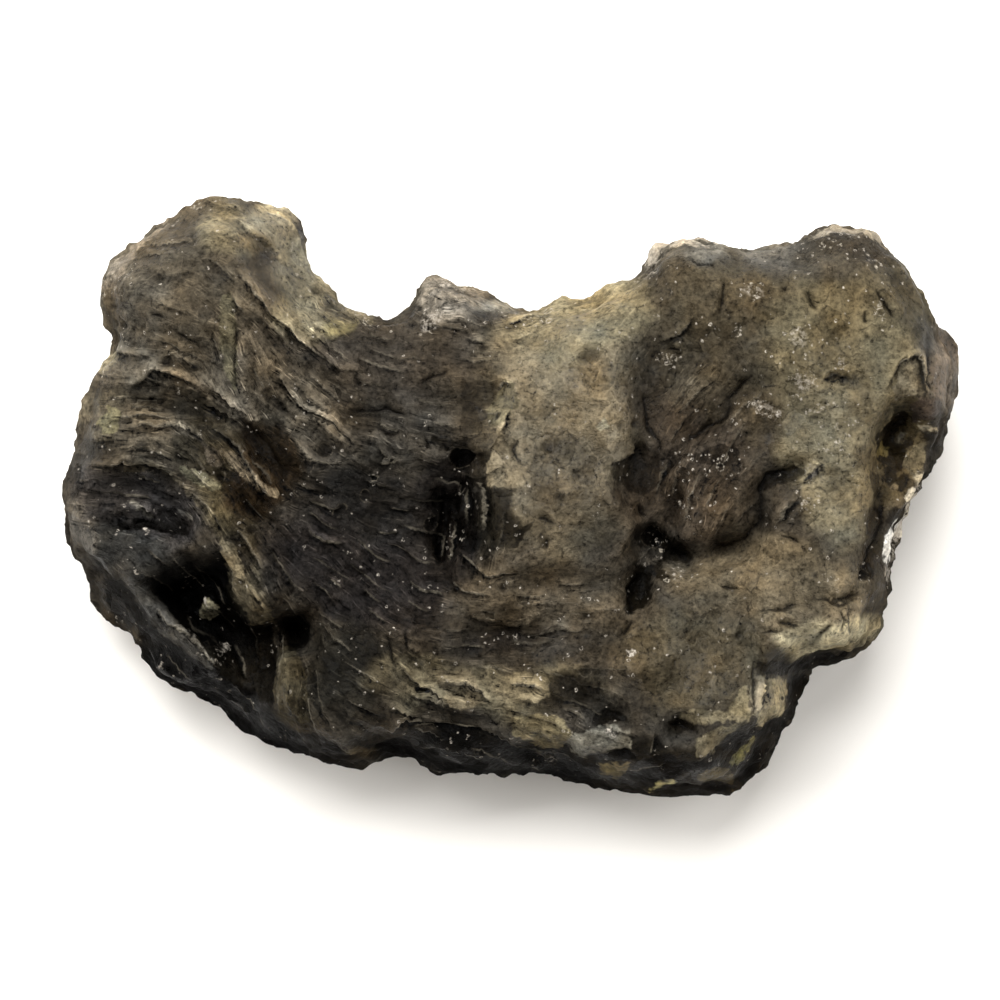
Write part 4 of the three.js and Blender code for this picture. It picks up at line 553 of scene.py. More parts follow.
WINDOWS = [
    (-9.2, 10.2, 1.4, 2.0, 20, 1.0), (2.4, 3.0, 3.0, 3.6, -15, 0.6), (-6.8, 7.5, 0.8, 0.8, 0, 0.8),
    (17.4, 5.0, 0.9, 1.9, 0, 0.8), (12.8, 2.2, 2.4, 3.6, 15, 0.5), (10.4, -7.9, 0.8, 1.6, 0, 0.7),
    (8.0, -6.6, 3.0, 2.0, 0, 0.4), (4.2, -10.9, 0.9, 0.6, 0, 0.8), (8.0, -11.0, 1.1, 0.7, 0, 0.8),
    (12.4, -5.2, 2.0, 0.9, 0, 0.4),
]


# Numbers from places

def cell_number(columns, rows, layers, seed):
    """One number from 0 to 1 for each cell, the same on every run."""
    mixed = columns.astype(np.int64) * 374761393 + rows.astype(np.int64) * 668265263
    mixed = (mixed + layers.astype(np.int64) * 1442695041 + seed * 1013904223) & 0xFFFFFFFF
    mixed = ((mixed ^ (mixed >> 13)) * 1274126177) & 0xFFFFFFFF
    mixed = ((mixed ^ (mixed >> 15)) * 668265263) & 0xFFFFFFFF
    return (mixed ^ (mixed >> 16)) / 2.0 ** 32


def soft_step(low, high, value):
    share = np.clip((value - low) / (high - low), 0, 1)
    return share * share * (3 - 2 * share)


def noise(places, size, seed):
    """Smooth noise from -1 to 1 with lumps about size mm across."""
    cells = np.floor(places / size)
    inside = places / size - cells
    inside = inside * inside * (3 - 2 * inside)
    total = np.zeros(len(places))
    for corner in np.ndindex(2, 2, 2):
        weight = np.prod(np.where(np.array(corner) == 1, inside, 1 - inside), axis=1)
        column, row, layer = (cells + corner).T
        total += weight * cell_number(column, row, layer, seed)
    return 2 * total - 1


def bowls(places, size, depth, seed):
    """Round bowls side by side with sharp crests between them, from -depth/2 to depth/2."""
    cells = np.floor(places / size)
    nearest = np.full(len(places), np.inf)
    for step in np.ndindex(3, 3, 3):
        column, row, layer = (cells + np.array(step) - 1).T
        numbers = [cell_number(column, row, layer, seed + axis) for axis in range(3)]
        centres = (np.stack([column, row, layer], axis=1) + np.stack(numbers, axis=1)) * size
        nearest = np.minimum(nearest, ((places - centres) ** 2).sum(axis=1))
    return depth * (np.minimum(1, nearest / (BOWL_REACH * size) ** 2) - 0.5)


def flow_at(x, y):
    """Direction of the flow in radians and its strength; a direction and its opposite count as the same."""
    east, north, strengths, weights = (np.zeros(np.shape(x)) for _ in range(4))
    for mark_x, mark_y, degrees, strength in FLOW_MARKS:
        weight = 1 / ((x - mark_x) ** 2 + (y - mark_y) ** 2 + FLOW_BLUR) ** 2
        east += weight * np.cos(2 * np.radians(degrees))
        north += weight * np.sin(2 * np.radians(degrees))
        strengths += weight * strength
        weights += weight
    calm = np.zeros(np.shape(x))
    for area in CALM_AREAS:
        calm = np.maximum(calm, area[5] * in_oval(x, y, *area[:5], 0.35))
    return np.arctan2(north, east) / 2, strengths / weights * (1 - calm)


def flow_flakes(x, y, cell, stretch, hollow, tilt, seed):
    """Long hollowed flakes that lie along the flow and overlap like scales. Returns their height, a number
    for the flake at each place, how far along and across it the place is, and how close the next flake is."""
    edge = int(HALF_SPAN / cell) + 6
    rows, columns = np.mgrid[-edge:edge, -edge:edge]
    layer = np.zeros_like(rows)
    centre_x = (columns + cell_number(columns, rows, layer, seed)) * cell
    centre_y = (rows + cell_number(columns, rows, layer, seed + 1)) * cell
    lot = cell_number(columns, rows, layer, seed + 2)
    turn, _ = flow_at(centre_x, centre_y)
    east, north = np.cos(turn), np.sin(turn)
    reach_along = BOWL_REACH * cell * np.sqrt(stretch)
    reach_across = BOWL_REACH * cell / np.sqrt(stretch)
    window = int(np.ceil(BOWL_REACH * np.sqrt(stretch)))
    column = np.floor(x / cell).astype(int) + edge
    row = np.floor(y / cell).astype(int) + edge
    nearest, second = np.full(len(x), 9.0), np.full(len(x), 9.0)
    number, length_share, width_share = np.zeros(len(x)), np.zeros(len(x)), np.zeros(len(x))
    for shift_x in range(-window, window + 1):
        for shift_y in range(-window, window + 1):
            here = (row + shift_y, column + shift_x)
            off_x, off_y = x - centre_x[here], y - centre_y[here]
            along = (off_x * east[here] + off_y * north[here]) / reach_along
            across = (off_y * east[here] - off_x * north[here]) / reach_across
            distance = along ** 2 + across ** 2
            closer = distance < nearest
            number = np.where(closer, lot[here], number)
            length_share = np.where(closer, along, length_share)
            width_share = np.where(closer, across, width_share)
            second = np.where(closer, nearest, np.minimum(second, distance))
            nearest = np.where(closer, distance, nearest)
    leaning = np.where(number > 0.3, 1, -1) * tilt * np.clip(width_share, -1, 1)
    gap = np.sqrt(second) - np.sqrt(nearest)
    height = hollow * (np.minimum(nearest, 1) - 0.5) + leaning
    return height, number, length_share * reach_along, width_share * reach_across, gap


def flake_edges():
    """Paths along the flow, each with a number from 0 to 1 that says how strongly it shows."""
    reach = int(HALF_SPAN / EDGE_SPACING)
    rows, columns = np.mgrid[-reach:reach, -reach:reach].reshape(2, -1)
    layer = np.zeros_like(rows)
    x = (columns + cell_number(columns, rows, layer, 601)) * EDGE_SPACING
    y = (rows + cell_number(columns, rows, layer, 602)) * EDGE_SPACING
    weight = cell_number(columns, rows, layer, 603)
    _, strength = flow_at(x, y)
    step = EDGE_STEP[0] + (EDGE_STEP[1] - EDGE_STEP[0]) * cell_number(columns, rows, layer, 604)
    east, north = np.ones(len(x)), np.zeros(len(x))
    places = [(x, y)]
    for _ in range(EDGE_STEPS):
        turn, _ = flow_at(x, y)
        onward = np.where(np.cos(turn) * east + np.sin(turn) * north < 0, -1, 1)
        east, north = onward * np.cos(turn), onward * np.sin(turn)
        x, y = x + step * east, y + step * north
        places.append((x, y))
    paths, weights = [], []
    taken = np.concatenate([np.array(path) for path in CRESTS + CRACKS])
    for one in np.flatnonzero(strength > LEAST_FLOW):
        path = np.array([(x[one], y[one]) for x, y in places])
        apart = np.hypot(*(path[:, None] - taken[None]).T)
        if apart.min() > EDGE_CLEARANCE:
            taken = np.concatenate([taken, path])
            paths.append([tuple(point) for point in path])
            weights.append((0.25 + 0.75 * weight[one]) * np.sqrt(strength[one]))
    return paths, weights


def from_path(x, y, path):
    """Distance from each place to a path, which side of it the place is on (1 for the left, -1 for the right),
    and how far along the path the nearest point is, from 0 to 1."""
    best = np.full(len(x), np.inf)
    side, along = np.ones(len(x)), np.zeros(len(x))
    count = len(path) - 1
    for index, ((ax, ay), (bx, by)) in enumerate(zip(path, path[1:])):
        length_squared = (bx - ax) ** 2 + (by - ay) ** 2
        share = np.clip(((x - ax) * (bx - ax) + (y - ay) * (by - ay)) / length_squared, 0, 1)
        distance = np.hypot(x - ax - share * (bx - ax), y - ay - share * (by - ay))
        left = (bx - ax) * (y - ay) - (by - ay) * (x - ax) > 0
        closer = distance < best
        along[closer] = (index + share[closer]) / count
        side[closer] = np.where(left[closer], 1, -1)
        best = np.minimum(best, distance)
    return best, side, along


def in_oval(x, y, centre_x, centre_y, half_length, half_width, degrees, softness):
    """1 inside a turned oval, falling softly to 0 over its border."""
    turn = np.radians(degrees)
    off_x, off_y = x - centre_x, y - centre_y
    along = (off_x * np.cos(turn) + off_y * np.sin(turn)) / half_length
    across = (off_y * np.cos(turn) - off_x * np.sin(turn)) / half_width
    return 1 - soft_step(1 - softness, 1 + softness, np.hypot(along, across))


# The mesh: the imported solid, made finer and rounded

def packed_mesh(node):
    """The node's points in mm and its triangles, with shared points merged."""
    shape = bmesh.new()
    shape.from_mesh(node.data)
    bmesh.ops.remove_doubles(shape, verts=shape.verts, dist=0.001 * MM)
    bmesh.ops.triangulate(shape, faces=shape.faces)
    points = np.array([corner.co[:] for corner in shape.verts]) / MM
    triangles = np.array([[corner.index for corner in face.verts] for face in shape.faces])
    shape.free()
    return points, triangles


def edges_of(triangles):
    """Each edge once, and which edge each side of each triangle is."""
    sides = np.sort(triangles[:, [[0, 1], [1, 2], [2, 0]]].reshape(-1, 2), axis=1)
    return np.unique(sides, axis=0, return_inverse=True)


def ring_sum(values, edges):
    """For each point, the sum of its neighbours' values and how many neighbours it has."""
    ends = np.concatenate([edges[:, 0], edges[:, 1]])
    others = np.concatenate([edges[:, 1], edges[:, 0]])
    count = np.bincount(ends, minlength=len(values))
    columns = [np.bincount(ends, weights=column[others], minlength=len(values)) for column in values.T]
    return np.stack(columns, axis=1), count


def made_finer(points, triangles):
    """One round of Loop subdivision: each triangle becomes four, and the surface is rounded."""
    edges, place = edges_of(triangles)
    place = place.reshape(-1)
    opposite = triangles[:, [2, 0, 1]].reshape(-1)
    wings = np.stack([np.bincount(place, weights=points[opposite, axis]) for axis in range(3)], axis=1)
    middles = 3 / 8 * points[edges].sum(axis=1) + wings / 8
    ring, count = ring_sum(points, edges)
    share = ((5 / 8 - (3 / 8 + np.cos(2 * np.pi / count) / 4) ** 2) / count)[:, None]
    rounded = points * (1 - count[:, None] * share) + share * ring
    first, second, third = triangles.T
    ab, bc, ca = (place.reshape(-1, 3) + len(points)).T
    parts = [(first, ab, ca), (second, bc, ab), (third, ca, bc), (ab, bc, ca)]
    finer = np.concatenate([np.stack(part, axis=1) for part in parts])
    return np.concatenate([rounded, middles]), finer


def normals_of(points, triangles):
    first, second, third = (points[triangles[:, corner]] for corner in range(3))
    facing = np.cross(second - first, third - first)
    total = np.zeros_like(points)
    for corner in range(3):
        for axis in range(3):
            total[:, axis] += np.bincount(triangles[:, corner], weights=facing[:, axis], minlength=len(points))
    return total / np.linalg.norm(total, axis=1, keepdims=True)


def evened(values, edges, rounds):
    """Each value drawn towards its neighbours' mean, a number of times."""
    for _ in range(rounds):
        ring, count = ring_sum(values, edges)
        values = (values + ring / count[:, None]) / 2
    return values


# Relief of the etched surface

def crust_at(x, y):
    cover = np.zeros(len(x))
    for centre_x, centre_y, half_length, half_width, degrees, thickness in CRUSTS:
        oval = in_oval(x, y, centre_x, centre_y, half_length, half_width, degrees, 0.5)
        cover = np.maximum(cover, thickness * oval)
    return cover


def lines_at(x, y, paths, weights, reach):
    """For each place: signed distance in mm from the nearest path, back to 0 at the reach; how near the path
    is, from 0 at its ends and at the reach to 1 on it; and the path's weight. The left side counts as plus."""
    signed, near, weight = np.zeros(len(x)), np.zeros(len(x)), np.zeros(len(x))
    for path, own_weight in zip(paths, weights):
        low, high = np.min(path, axis=0) - reach, np.max(path, axis=0) + reach
        here = np.flatnonzero((x > low[0]) & (x < high[0]) & (y > low[1]) & (y < high[1]))
        distance, side, along = from_path(x[here], y[here], path)
        closeness = np.clip(1 - distance / reach, 0, 1) * np.sqrt(np.sin(np.pi * along))
        better = closeness > near[here]
        chosen = here[better]
        near[chosen] = closeness[better]
        signed[chosen] = (side * np.clip(np.minimum(distance, reach - distance), 0, None))[better]
        weight[chosen] = own_weight
    return np.stack([signed, near, weight], axis=1)


def eastward(paths):
    """The same paths, each turned round if it leads west, so that its left is its upper side."""
    return [path if path[-1][0] >= path[0][0] else path[::-1] for path in paths]


def wandered(x, y, wander, height=0.0):
    """The same places, shifted by noise, so that what is drawn there gets an uneven edge."""
    places = np.stack([x, y, np.full(len(x), height)], axis=1)
    for size, shift, seed in wander:
        x = x + shift * noise(places, size, seed)
        y = y + shift * noise(places, size, seed + 1)
    return x, y


def top_relief(points):
    """Height of the fine relief on the upper face, and the marks that its colours use."""
    x, y = wandered(points[:, 0], points[:, 1], [(0.9, 0.14, 401), (0.35, 0.05, 411)])
    flat = np.stack([x, y, np.zeros(len(x))], axis=1)
    _, strength = flow_at(x, y)
    long_height, long_number, long_along, long_across, long_gap = flow_flakes(x, y, **LONG_FLAKES)
    fine_height, fine_number, _, fine_across, fine_gap = flow_flakes(x, y, **FINE_FLAKES)
    crust = crust_at(x, y)
    edge_paths, edge_weights = flake_edges()
    edges = lines_at(x, y, edge_paths + eastward(CRESTS), edge_weights + [1.0] * len(CRESTS), EDGE_REACH)
    cracks = lines_at(x, y, CRACKS, [1.0] * len(CRACKS), CRACK_REACH)
    height = strength * (long_height + fine_height) + (0.35 + crust) * bowls(flat, **CRUST_BOWLS)
    height += bowls(flat, **ROUND_BOWLS) + bowls(flat, **SMALL_BOWLS)
    height += EDGE_HEIGHT * np.sign(edges[:, 0]) * edges[:, 1] * edges[:, 2]
    height -= CRACK_DEPTH * soft_step(0.2, 1, cracks[:, 1])
    for pit_x, pit_y, radius in BUBBLE_PITS:
        share = np.hypot(x - pit_x, y - pit_y) / radius
        height -= PIT_DEPTH * radius * np.sqrt(np.clip(1 - share ** 2, 0, 1))
    tint = 0.3 * (long_number - 0.5) - 0.3 * long_across + 0.2 * (fine_number - 0.5) - 0.3 * fine_across
    in_flake = np.stack([long_along + FLAKE_SPREAD * long_number, long_across, np.zeros(len(x))], axis=1)
    spots = np.stack([from_spots(x, y, BUBBLE_PITS), from_spots(x, y, GLINTS), crust], axis=1)
    dark, dark_number = shapes_at(points[:, 0], points[:, 1], [shape[2] for shape in DARK_SHAPES])
    pale, pale_number = shapes_at(points[:, 0], points[:, 1], [shape[2] for shape in PALE_SHAPES])
    dark_share = np.array([shape[1] for shape in DARK_SHAPES])[dark_number]
    marks = {"shapes": np.stack([dark, pale, dark_share], axis=1), "pale number": pale_number, "strength": strength, "tint": tint, "flake edge": edges, "crack": cracks, "in flake": in_flake,
             "spots": spots}
    return height, marks


def from_spots(x, y, spots):
    """Distance in mm from the rim of the nearest round spot, less than 0 inside it."""
    distance = np.full(len(x), 1.0)
    for spot_x, spot_y, radius in spots:
        distance = np.minimum(distance, np.hypot(x - spot_x, y - spot_y) - radius)
    return distance


def side_relief(points):
    """Height of the relief on the walls and the underside."""
    stretched = points * [1, 1, 0.75]
    return (bowls(stretched, **WALL_BOWLS) + bowls(stretched, **WALL_SMALL_BOWLS)
            + bowls(points, **CRUST_BOWLS))


def from_outline(x, y, outline):
    """Distance in mm from an outline, plus inside it and minus outside."""
    distance, _, _ = from_path(x, y, outline + outline[:1])
    inside = np.zeros(len(x), bool)
    for (ax, ay), (bx, by) in zip(outline, outline[1:] + outline[:1]):
        crossed = (ay > y) != (by > y)
        inside ^= crossed & ((x - ax) * abs(by - ay) < (y - ay) * (bx - ax) * np.sign(by - ay))
    return np.where(inside, distance, -distance)


def shapes_at(x, y, outlines):
    """For each place: distance from the outline of the nearest shape, plus inside it, and that shape's number."""
    signed, number = np.full(len(x), -SHAPE_REACH), np.zeros(len(x), int)
    for own_number, outline in enumerate(outlines):
        low, high = np.min(outline, axis=0) - SHAPE_REACH, np.max(outline, axis=0) + SHAPE_REACH
        here = np.flatnonzero((x > low[0]) & (x < high[0]) & (y > low[1]) & (y < high[1]))
        distance = np.clip(from_outline(x[here], y[here], outline), -SHAPE_REACH, SHAPE_REACH)
        better = distance > signed[here]
        signed[here[better]] = distance[better]
        number[here[better]] = own_number
    return signed, number


def tones_at(x, y, seen):
    """Linear colour of the glass from above, from the tones and patches laid one over another. Patches fade out
    where seen is 0."""
    tone_x, tone_y = wandered(x, y, TONE_WANDER)
    colour = np.tile(linear("#3a352e"), (len(x), 1))
    for _, tone, share, centre_x, centre_y, half_length, half_width, degrees in TONES:
        oval = in_oval(tone_x, tone_y, centre_x, centre_y, half_length, half_width, degrees, TONE_SOFTNESS)
        colour += (share * oval)[:, None] * (linear(tone) - colour)
    x, y = wandered(x, y, PATCH_WANDER)
    for _, tone, share, softness, outline in PATCHES:
        low, high = np.min(outline, axis=0) - softness, np.max(outline, axis=0) + softness
        here = np.flatnonzero((x > low[0]) & (x < high[0]) & (y > low[1]) & (y < high[1]))
        inside = soft_step(-softness, softness, from_outline(x[here], y[here], outline))
        colour[here] += (share * inside * seen[here])[:, None] * (linear(tone) - colour[here])
    return colour


def linear(tone):
    """Linear red, green and blue of an sRGB hex colour."""
    values = np.array([int(tone[place:place + 2], 16) for place in (1, 3, 5)]) / 255
    return np.where(values <= 0.04045, values / 12.92, ((values + 0.055) / 1.055) ** 2.4)


def windows_at(x, y):
    clear = np.zeros(len(x))
    for centre_x, centre_y, half_length, half_width, degrees, share in WINDOWS:
        clear = np.maximum(clear, share * in_oval(x, y, centre_x, centre_y, half_length, half_width, degrees, 0.5))
    return clear


# The stone

def stone_mesh(node):
    points, triangles = packed_mesh(node)
    for _ in range(FINER_ROUNDS):
        points, triangles = made_finer(points, triangles)
    edges, _ = edges_of(triangles)
    low, high = points.min(axis=0), points.max(axis=0)
    normals = normals_of(points, triangles)
    broad = points.copy()
    upward = soft_step(0.15, 0.6, normals[:, 2])
    top, marks = top_relief(points)
    relief = upward * top + (1 - upward) * side_relief(points)
    points = points + normals * relief[:, None]
    points = np.clip(points, low, high)
    points[:, 2] = np.maximum(points[:, 2], LEAST_HEIGHT)
    # How far each point stands out, for painted light on crests and painted shade in hollows
    bulge_fine = ((points - evened(points, edges, 3)) * normals).sum(axis=1)
    bulge_wide = ((points - evened(points, edges, 40)) * normals).sum(axis=1)
    seen = soft_step(-0.15, 0.15, normals[:, 2] + 0.25 * noise(points, 1.1, 541))
    marks["shapes"][:, :2] = (marks["shapes"][:, :2] + SHAPE_REACH) * seen[:, None] - SHAPE_REACH
    marks["spots"][:, 0] = 1 - (1 - marks["spots"][:, 0]) * seen
    marks["spots"][:, 1] = 1 - (1 - marks["spots"][:, 1]) * seen
    marks["spots"][:, 2] *= seen
    marks.update({"seen": seen, "upward": upward, "facing": normals[:, 2], "north": normals[:, 1], "bulge fine": bulge_fine,
                  "bulge wide": bulge_wide})
    return points, triangles, broad, marks


def stone_colour(points, marks):
    """Colours of each point, of the body and of a pale shape on it: the tone of its place, streaked along the
    flow, with painted light on crests and painted shade in dips, and painted light on walls that face north
    towards the lamps and painted shade on walls that face away."""
    x, y = points[:, 0], points[:, 1]
    under = soft_step(-0.1, -0.7, marks["facing"])
    seen = marks["seen"]
    colour = tones_at(x, y, seen)
    # Painted light and shade on the walls: paler where they face north towards the lamps, darker facing away
    wall = np.where(marks["north"][:, None] > 0, linear("#4a4337"), linear("#1d1a16"))
    colour += (0.6 * (1 - seen))[:, None] * (wall - colour)
    pale = TONE_SHARE * np.array([linear(shape[1]) for shape in PALE_SHAPES])[marks["pale number"]]
    colour = TONE_SHARE * (colour + under[:, None] * (linear("#4f4838") - colour))
    mottle = 0.18 * noise(points, 1.3, 501) + 0.18 * noise(points, 0.45, 503)
    light = 1 + (0.25 + marks["strength"]) * marks["tint"] + mottle
    # Painted light on crests and painted shade in hollows, fine and wide
    light *= np.clip(1 + 6 * marks["bulge fine"], 0.5, 1.6)
    light *= np.clip(1 + 1.8 * marks["bulge wide"], 0.7, 1.6)
    # Painted light on walls facing north towards the lamps, painted shade on walls facing south
    light *= 1 + (1 - marks["upward"]) * np.where(marks["north"] > 0, 0.9, 0.6) * marks["north"]
    warmth = 0.1 * noise(points, 1.6, 521) + 0.06 * noise(points, 0.5, 523)
    light = 1.14 * np.clip(light, 0.1, 2.2)[:, None] * (1 + warmth[:, None] * [1.0, 0.2, -1.0]) * [1.0, 0.99, 0.94]
    return np.clip(colour * light, 0, 1), np.clip(pale * light, 0, 1)


def new_mesh(name, points, triangles):
    mesh = bpy.data.meshes.new(name)
    mesh.from_pydata(points * MM, [], triangles)
    mesh.polygons.foreach_set("use_smooth", np.ones(len(triangles), bool))
    mesh.update()
    return mesh


def add_values(mesh, name, values):
    layer = mesh.attributes.new(name, "FLOAT", "POINT")
    layer.data.foreach_set("value", values.astype(np.float32))


def add_vectors(mesh, name, vectors):
    layer = mesh.attributes.new(name, "FLOAT_VECTOR", "POINT")
    layer.data.foreach_set("vector", vectors.astype(np.float32).ravel())


def add_colours(mesh, name, colours):
    layer = mesh.attributes.new(name, "FLOAT_COLOR", "POINT")
    layer.data.foreach_set("color", np.column_stack([colours, np.ones(len(colours))]).astype(np.float32).ravel())


def make_stone(node):
    points, triangles, broad, marks = stone_mesh(node)
    mesh = new_mesh("moldavite_surface", points, triangles)
    body, pale = stone_colour(broad, marks)
    add_colours(mesh, "glass tone", body)
    add_colours(mesh, "pale tone", pale)
    upward = marks["upward"]
    add_values(mesh, "upward", upward)
    add_values(mesh, "window", windows_at(broad[:, 0], broad[:, 1]) * upward)
    add_values(mesh, "flow", marks["strength"] * upward)
    for name in ("in flake", "flake edge", "crack", "spots", "shapes"):
        add_vectors(mesh, name, marks[name])
    stone = bpy.data.objects.new("moldavite_surface", mesh)
    bpy.context.scene.collection.objects.link(stone)
    mesh.materials.append(etched_moldavite())
    return stone


# Materials

def add_node(tree, kind, links=(), **settings):
    """A node with its settings and links. A link is (input, from node, output)."""
    node = tree.nodes.new(kind)
    values = settings.pop("values", {})
    for name, value in settings.items():
        setattr(node, name, value)
    for name, value in values.items():
        node.inputs[name].default_value = value
    for name, source, output in links:
        tree.links.new(source.outputs[output], node.inputs[name])
    return node


def new_material(name):
    material = bpy.data.materials.new(name)
    material.use_nodes = True
    tree = material.node_tree
    tree.nodes.clear()
    return material, tree


STREAK_LENGTH = 1.3
STREAK_WIDTH = 0.13
LINE_HALF_WIDTH = 0.05
CRACK_HALF_WIDTH = 0.07


def per_mm(size):
    """Texture scale, per metre, for a pattern whose lumps are size mm across."""
    return 1 / (size * MM)


def mapped(tree, source, output, span, result):
    """A value brought from one span to another, held at its ends."""
    values = dict(zip(("From Min", "From Max", "To Min", "To Max"), (*span, *result)))
    return add_node(tree, "ShaderNodeMapRange", [("Value", source, output)], values=values)


def maths(tree, operation, *operands):
    """An arithmetic node. An operand is a number, or a node with the name of its output."""
    node = add_node(tree, "ShaderNodeMath", operation=operation)
    for place, operand in enumerate(operands):
        if isinstance(operand, tuple):
            tree.links.new(operand[0].outputs[operand[1]], node.inputs[place])
        else:
            node.inputs[place].default_value = operand
    return node


def blended(tree, share, under, over):
    """Two colours mixed. Each is a node with the name of its output, or the upper one a hex colour."""
    node = add_node(tree, "ShaderNodeMix", [(0, *share), (6, *under)], data_type="RGBA", clamp_factor=True)
    if isinstance(over, tuple):
        tree.links.new(over[0].outputs[over[1]], node.inputs[7])
    else:
        node.inputs[7].default_value = (*linear(over), 1.0)
    return node


def drawn_line(tree, attribute, wobble, half_width):
    """Crisp line where the signed distance of a line attribute passes through 0. Returns the line, a step from
    -1 to 1 across it, how near it is, and its weight, each as a node with the name of its output."""
    stored = add_node(tree, "ShaderNodeAttribute", attribute_name=attribute)
    parts = add_node(tree, "ShaderNodeSeparateXYZ", [("Vector", stored, "Vector")])
    signed = maths(tree, "ADD", (parts, "X"), (wobble, "Value"))
    away = maths(tree, "ABSOLUTE", (signed, "Value"))
    thin = mapped(tree, away, "Value", (0.3 * half_width, half_width), (1.0, 0.0))
    within = mapped(tree, parts, "Y", (0.4, 0.75), (0.0, 1.0))
    line = maths(tree, "MULTIPLY", (thin, "Result"), (within, "Result"))
    step = mapped(tree, signed, "Value", (-0.5 * half_width, 0.5 * half_width), (-1.0, 1.0))
    return (line, "Value"), (step, "Result"), (parts, "Y"), (parts, "Z")


def etched_moldavite():
    """Natural glass etched by damp ground: satin faces, thin edges of overlapping flakes painted bright as
    highlights, cracks and pits painted dark as shade, smoky brown body, olive where it is thin, and fine
    rings and grains of pale crust in its pits, with painted glints and sparkle."""
    material, tree = new_material("etched_moldavite")
    place = add_node(tree, "ShaderNodeTexCoord")
    tone = add_node(tree, "ShaderNodeAttribute", attribute_name="glass tone")
    window = add_node(tree, "ShaderNodeAttribute", attribute_name="window")
    flake = add_node(tree, "ShaderNodeAttribute", attribute_name="in flake")
    flow = add_node(tree, "ShaderNodeAttribute", attribute_name="flow")
    upward = add_node(tree, "ShaderNodeAttribute", attribute_name="upward")
    spots = add_node(tree, "ShaderNodeAttribute", attribute_name="spots")
    shapes = add_node(tree, "ShaderNodeAttribute", attribute_name="shapes")
    pale_tone = add_node(tree, "ShaderNodeAttribute", attribute_name="pale tone")
    spot = add_node(tree, "ShaderNodeSeparateXYZ", [("Vector", spots, "Vector")])
    at = [("Vector", place, "Object")]
    grain = add_node(tree, "ShaderNodeTexNoise", at, values={"Scale": per_mm(0.2), "Detail": 4.0, "Roughness": 0.7})
    lumps = add_node(tree, "ShaderNodeTexNoise", at, values={"Scale": per_mm(0.7), "Detail": 2.0, "Roughness": 0.5})
    shifted = add_node(tree, "ShaderNodeVectorMath", [(0, grain, "Color"), (2, place, "Object")],
                       operation="MULTIPLY_ADD")
    shifted.inputs[1].default_value = (0.25 * MM, 0.25 * MM, 0.25 * MM)
    rings = add_node(tree, "ShaderNodeTexVoronoi", [("Vector", shifted, "Vector")], values={"Scale": per_mm(0.3)})
    specks = add_node(tree, "ShaderNodeTexVoronoi", [("Vector", shifted, "Vector")], values={"Scale": per_mm(0.17)})
    loops = add_node(tree, "ShaderNodeTexVoronoi", [("Vector", shifted, "Vector")], values={"Scale": per_mm(0.42)})
    drawn_out = add_node(tree, "ShaderNodeVectorMath", [(0, flake, "Vector")], operation="MULTIPLY")
    drawn_out.inputs[1].default_value = (1 / STREAK_LENGTH, 1 / STREAK_WIDTH, 1.0)
    fibres = add_node(tree, "ShaderNodeTexNoise", [("Vector", drawn_out, "Vector")], noise_dimensions="2D",
                      values={"Scale": 1.0, "Detail": 3.0, "Roughness": 0.6})
    slivers = add_node(tree, "ShaderNodeTexVoronoi", [("Vector", drawn_out, "Vector")], voronoi_dimensions="2D",
                       values={"Scale": 0.5})
    dashes = add_node(tree, "ShaderNodeTexVoronoi", [("Vector", drawn_out, "Vector")], voronoi_dimensions="2D",
                      values={"Scale": 2.2})
    bent = add_node(tree, "ShaderNodeVectorMath", [(0, lumps, "Color"), (2, shifted, "Vector")],
                    operation="MULTIPLY_ADD")
    bent.inputs[1].default_value = (0.6 * MM, 0.6 * MM, 0.6 * MM)
    facets = add_node(tree, "ShaderNodeTexVoronoi", [("Vector", bent, "Vector")], values={"Scale": per_mm(0.8)})
    facet_from = add_node(tree, "ShaderNodeVectorMath", [(0, bent, "Vector"), (1, facets, "Position")],
                          operation="SUBTRACT")
    facet_turn = add_node(tree, "ShaderNodeVectorMath", [(0, facets, "Color")], operation="SUBTRACT")
    facet_turn.inputs[1].default_value = (0.5, 0.5, 0.5)
    facet_height = add_node(tree, "ShaderNodeVectorMath", [(0, facet_from, "Vector"), (1, facet_turn, "Vector")],
                            operation="DOT_PRODUCT")
    borders = add_node(tree, "ShaderNodeTexVoronoi", [("Vector", bent, "Vector")], feature="DISTANCE_TO_EDGE",
                       values={"Scale": per_mm(0.8)})
    wobble = mapped(tree, grain, "Fac", (0.3, 0.7), (-0.03, 0.03))
    wobble_value = maths(tree, "MULTIPLY", (wobble, "Result"), 1.0)
    line, step, near, weight = drawn_line(tree, "flake edge", wobble_value, LINE_HALF_WIDTH)
    gap, _, _, _ = drawn_line(tree, "crack", wobble_value, CRACK_HALF_WIDTH)
    # Step across each flake's edge, for its relief and for painted light above it and painted shade below
    face = maths(tree, "MULTIPLY", step, near)
    face = maths(tree, "MULTIPLY", (face, "Value"), weight)
    face = maths(tree, "MULTIPLY", (face, "Value"), (upward, "Fac"))

    # Fine grain in the glass, streaks along its flow with pale dashes painted as glints,
    # and painted light on the upper side of each flake's edge and painted shade on its lower side
    shade = mapped(tree, grain, "Fac", (0.3, 0.7), (0.35, 1.65))
    streak = mapped(tree, fibres, "Fac", (0.3, 0.7), (-0.35, 0.35))
    dash_lot = add_node(tree, "ShaderNodeSeparateColor", [("Color", dashes, "Color")])
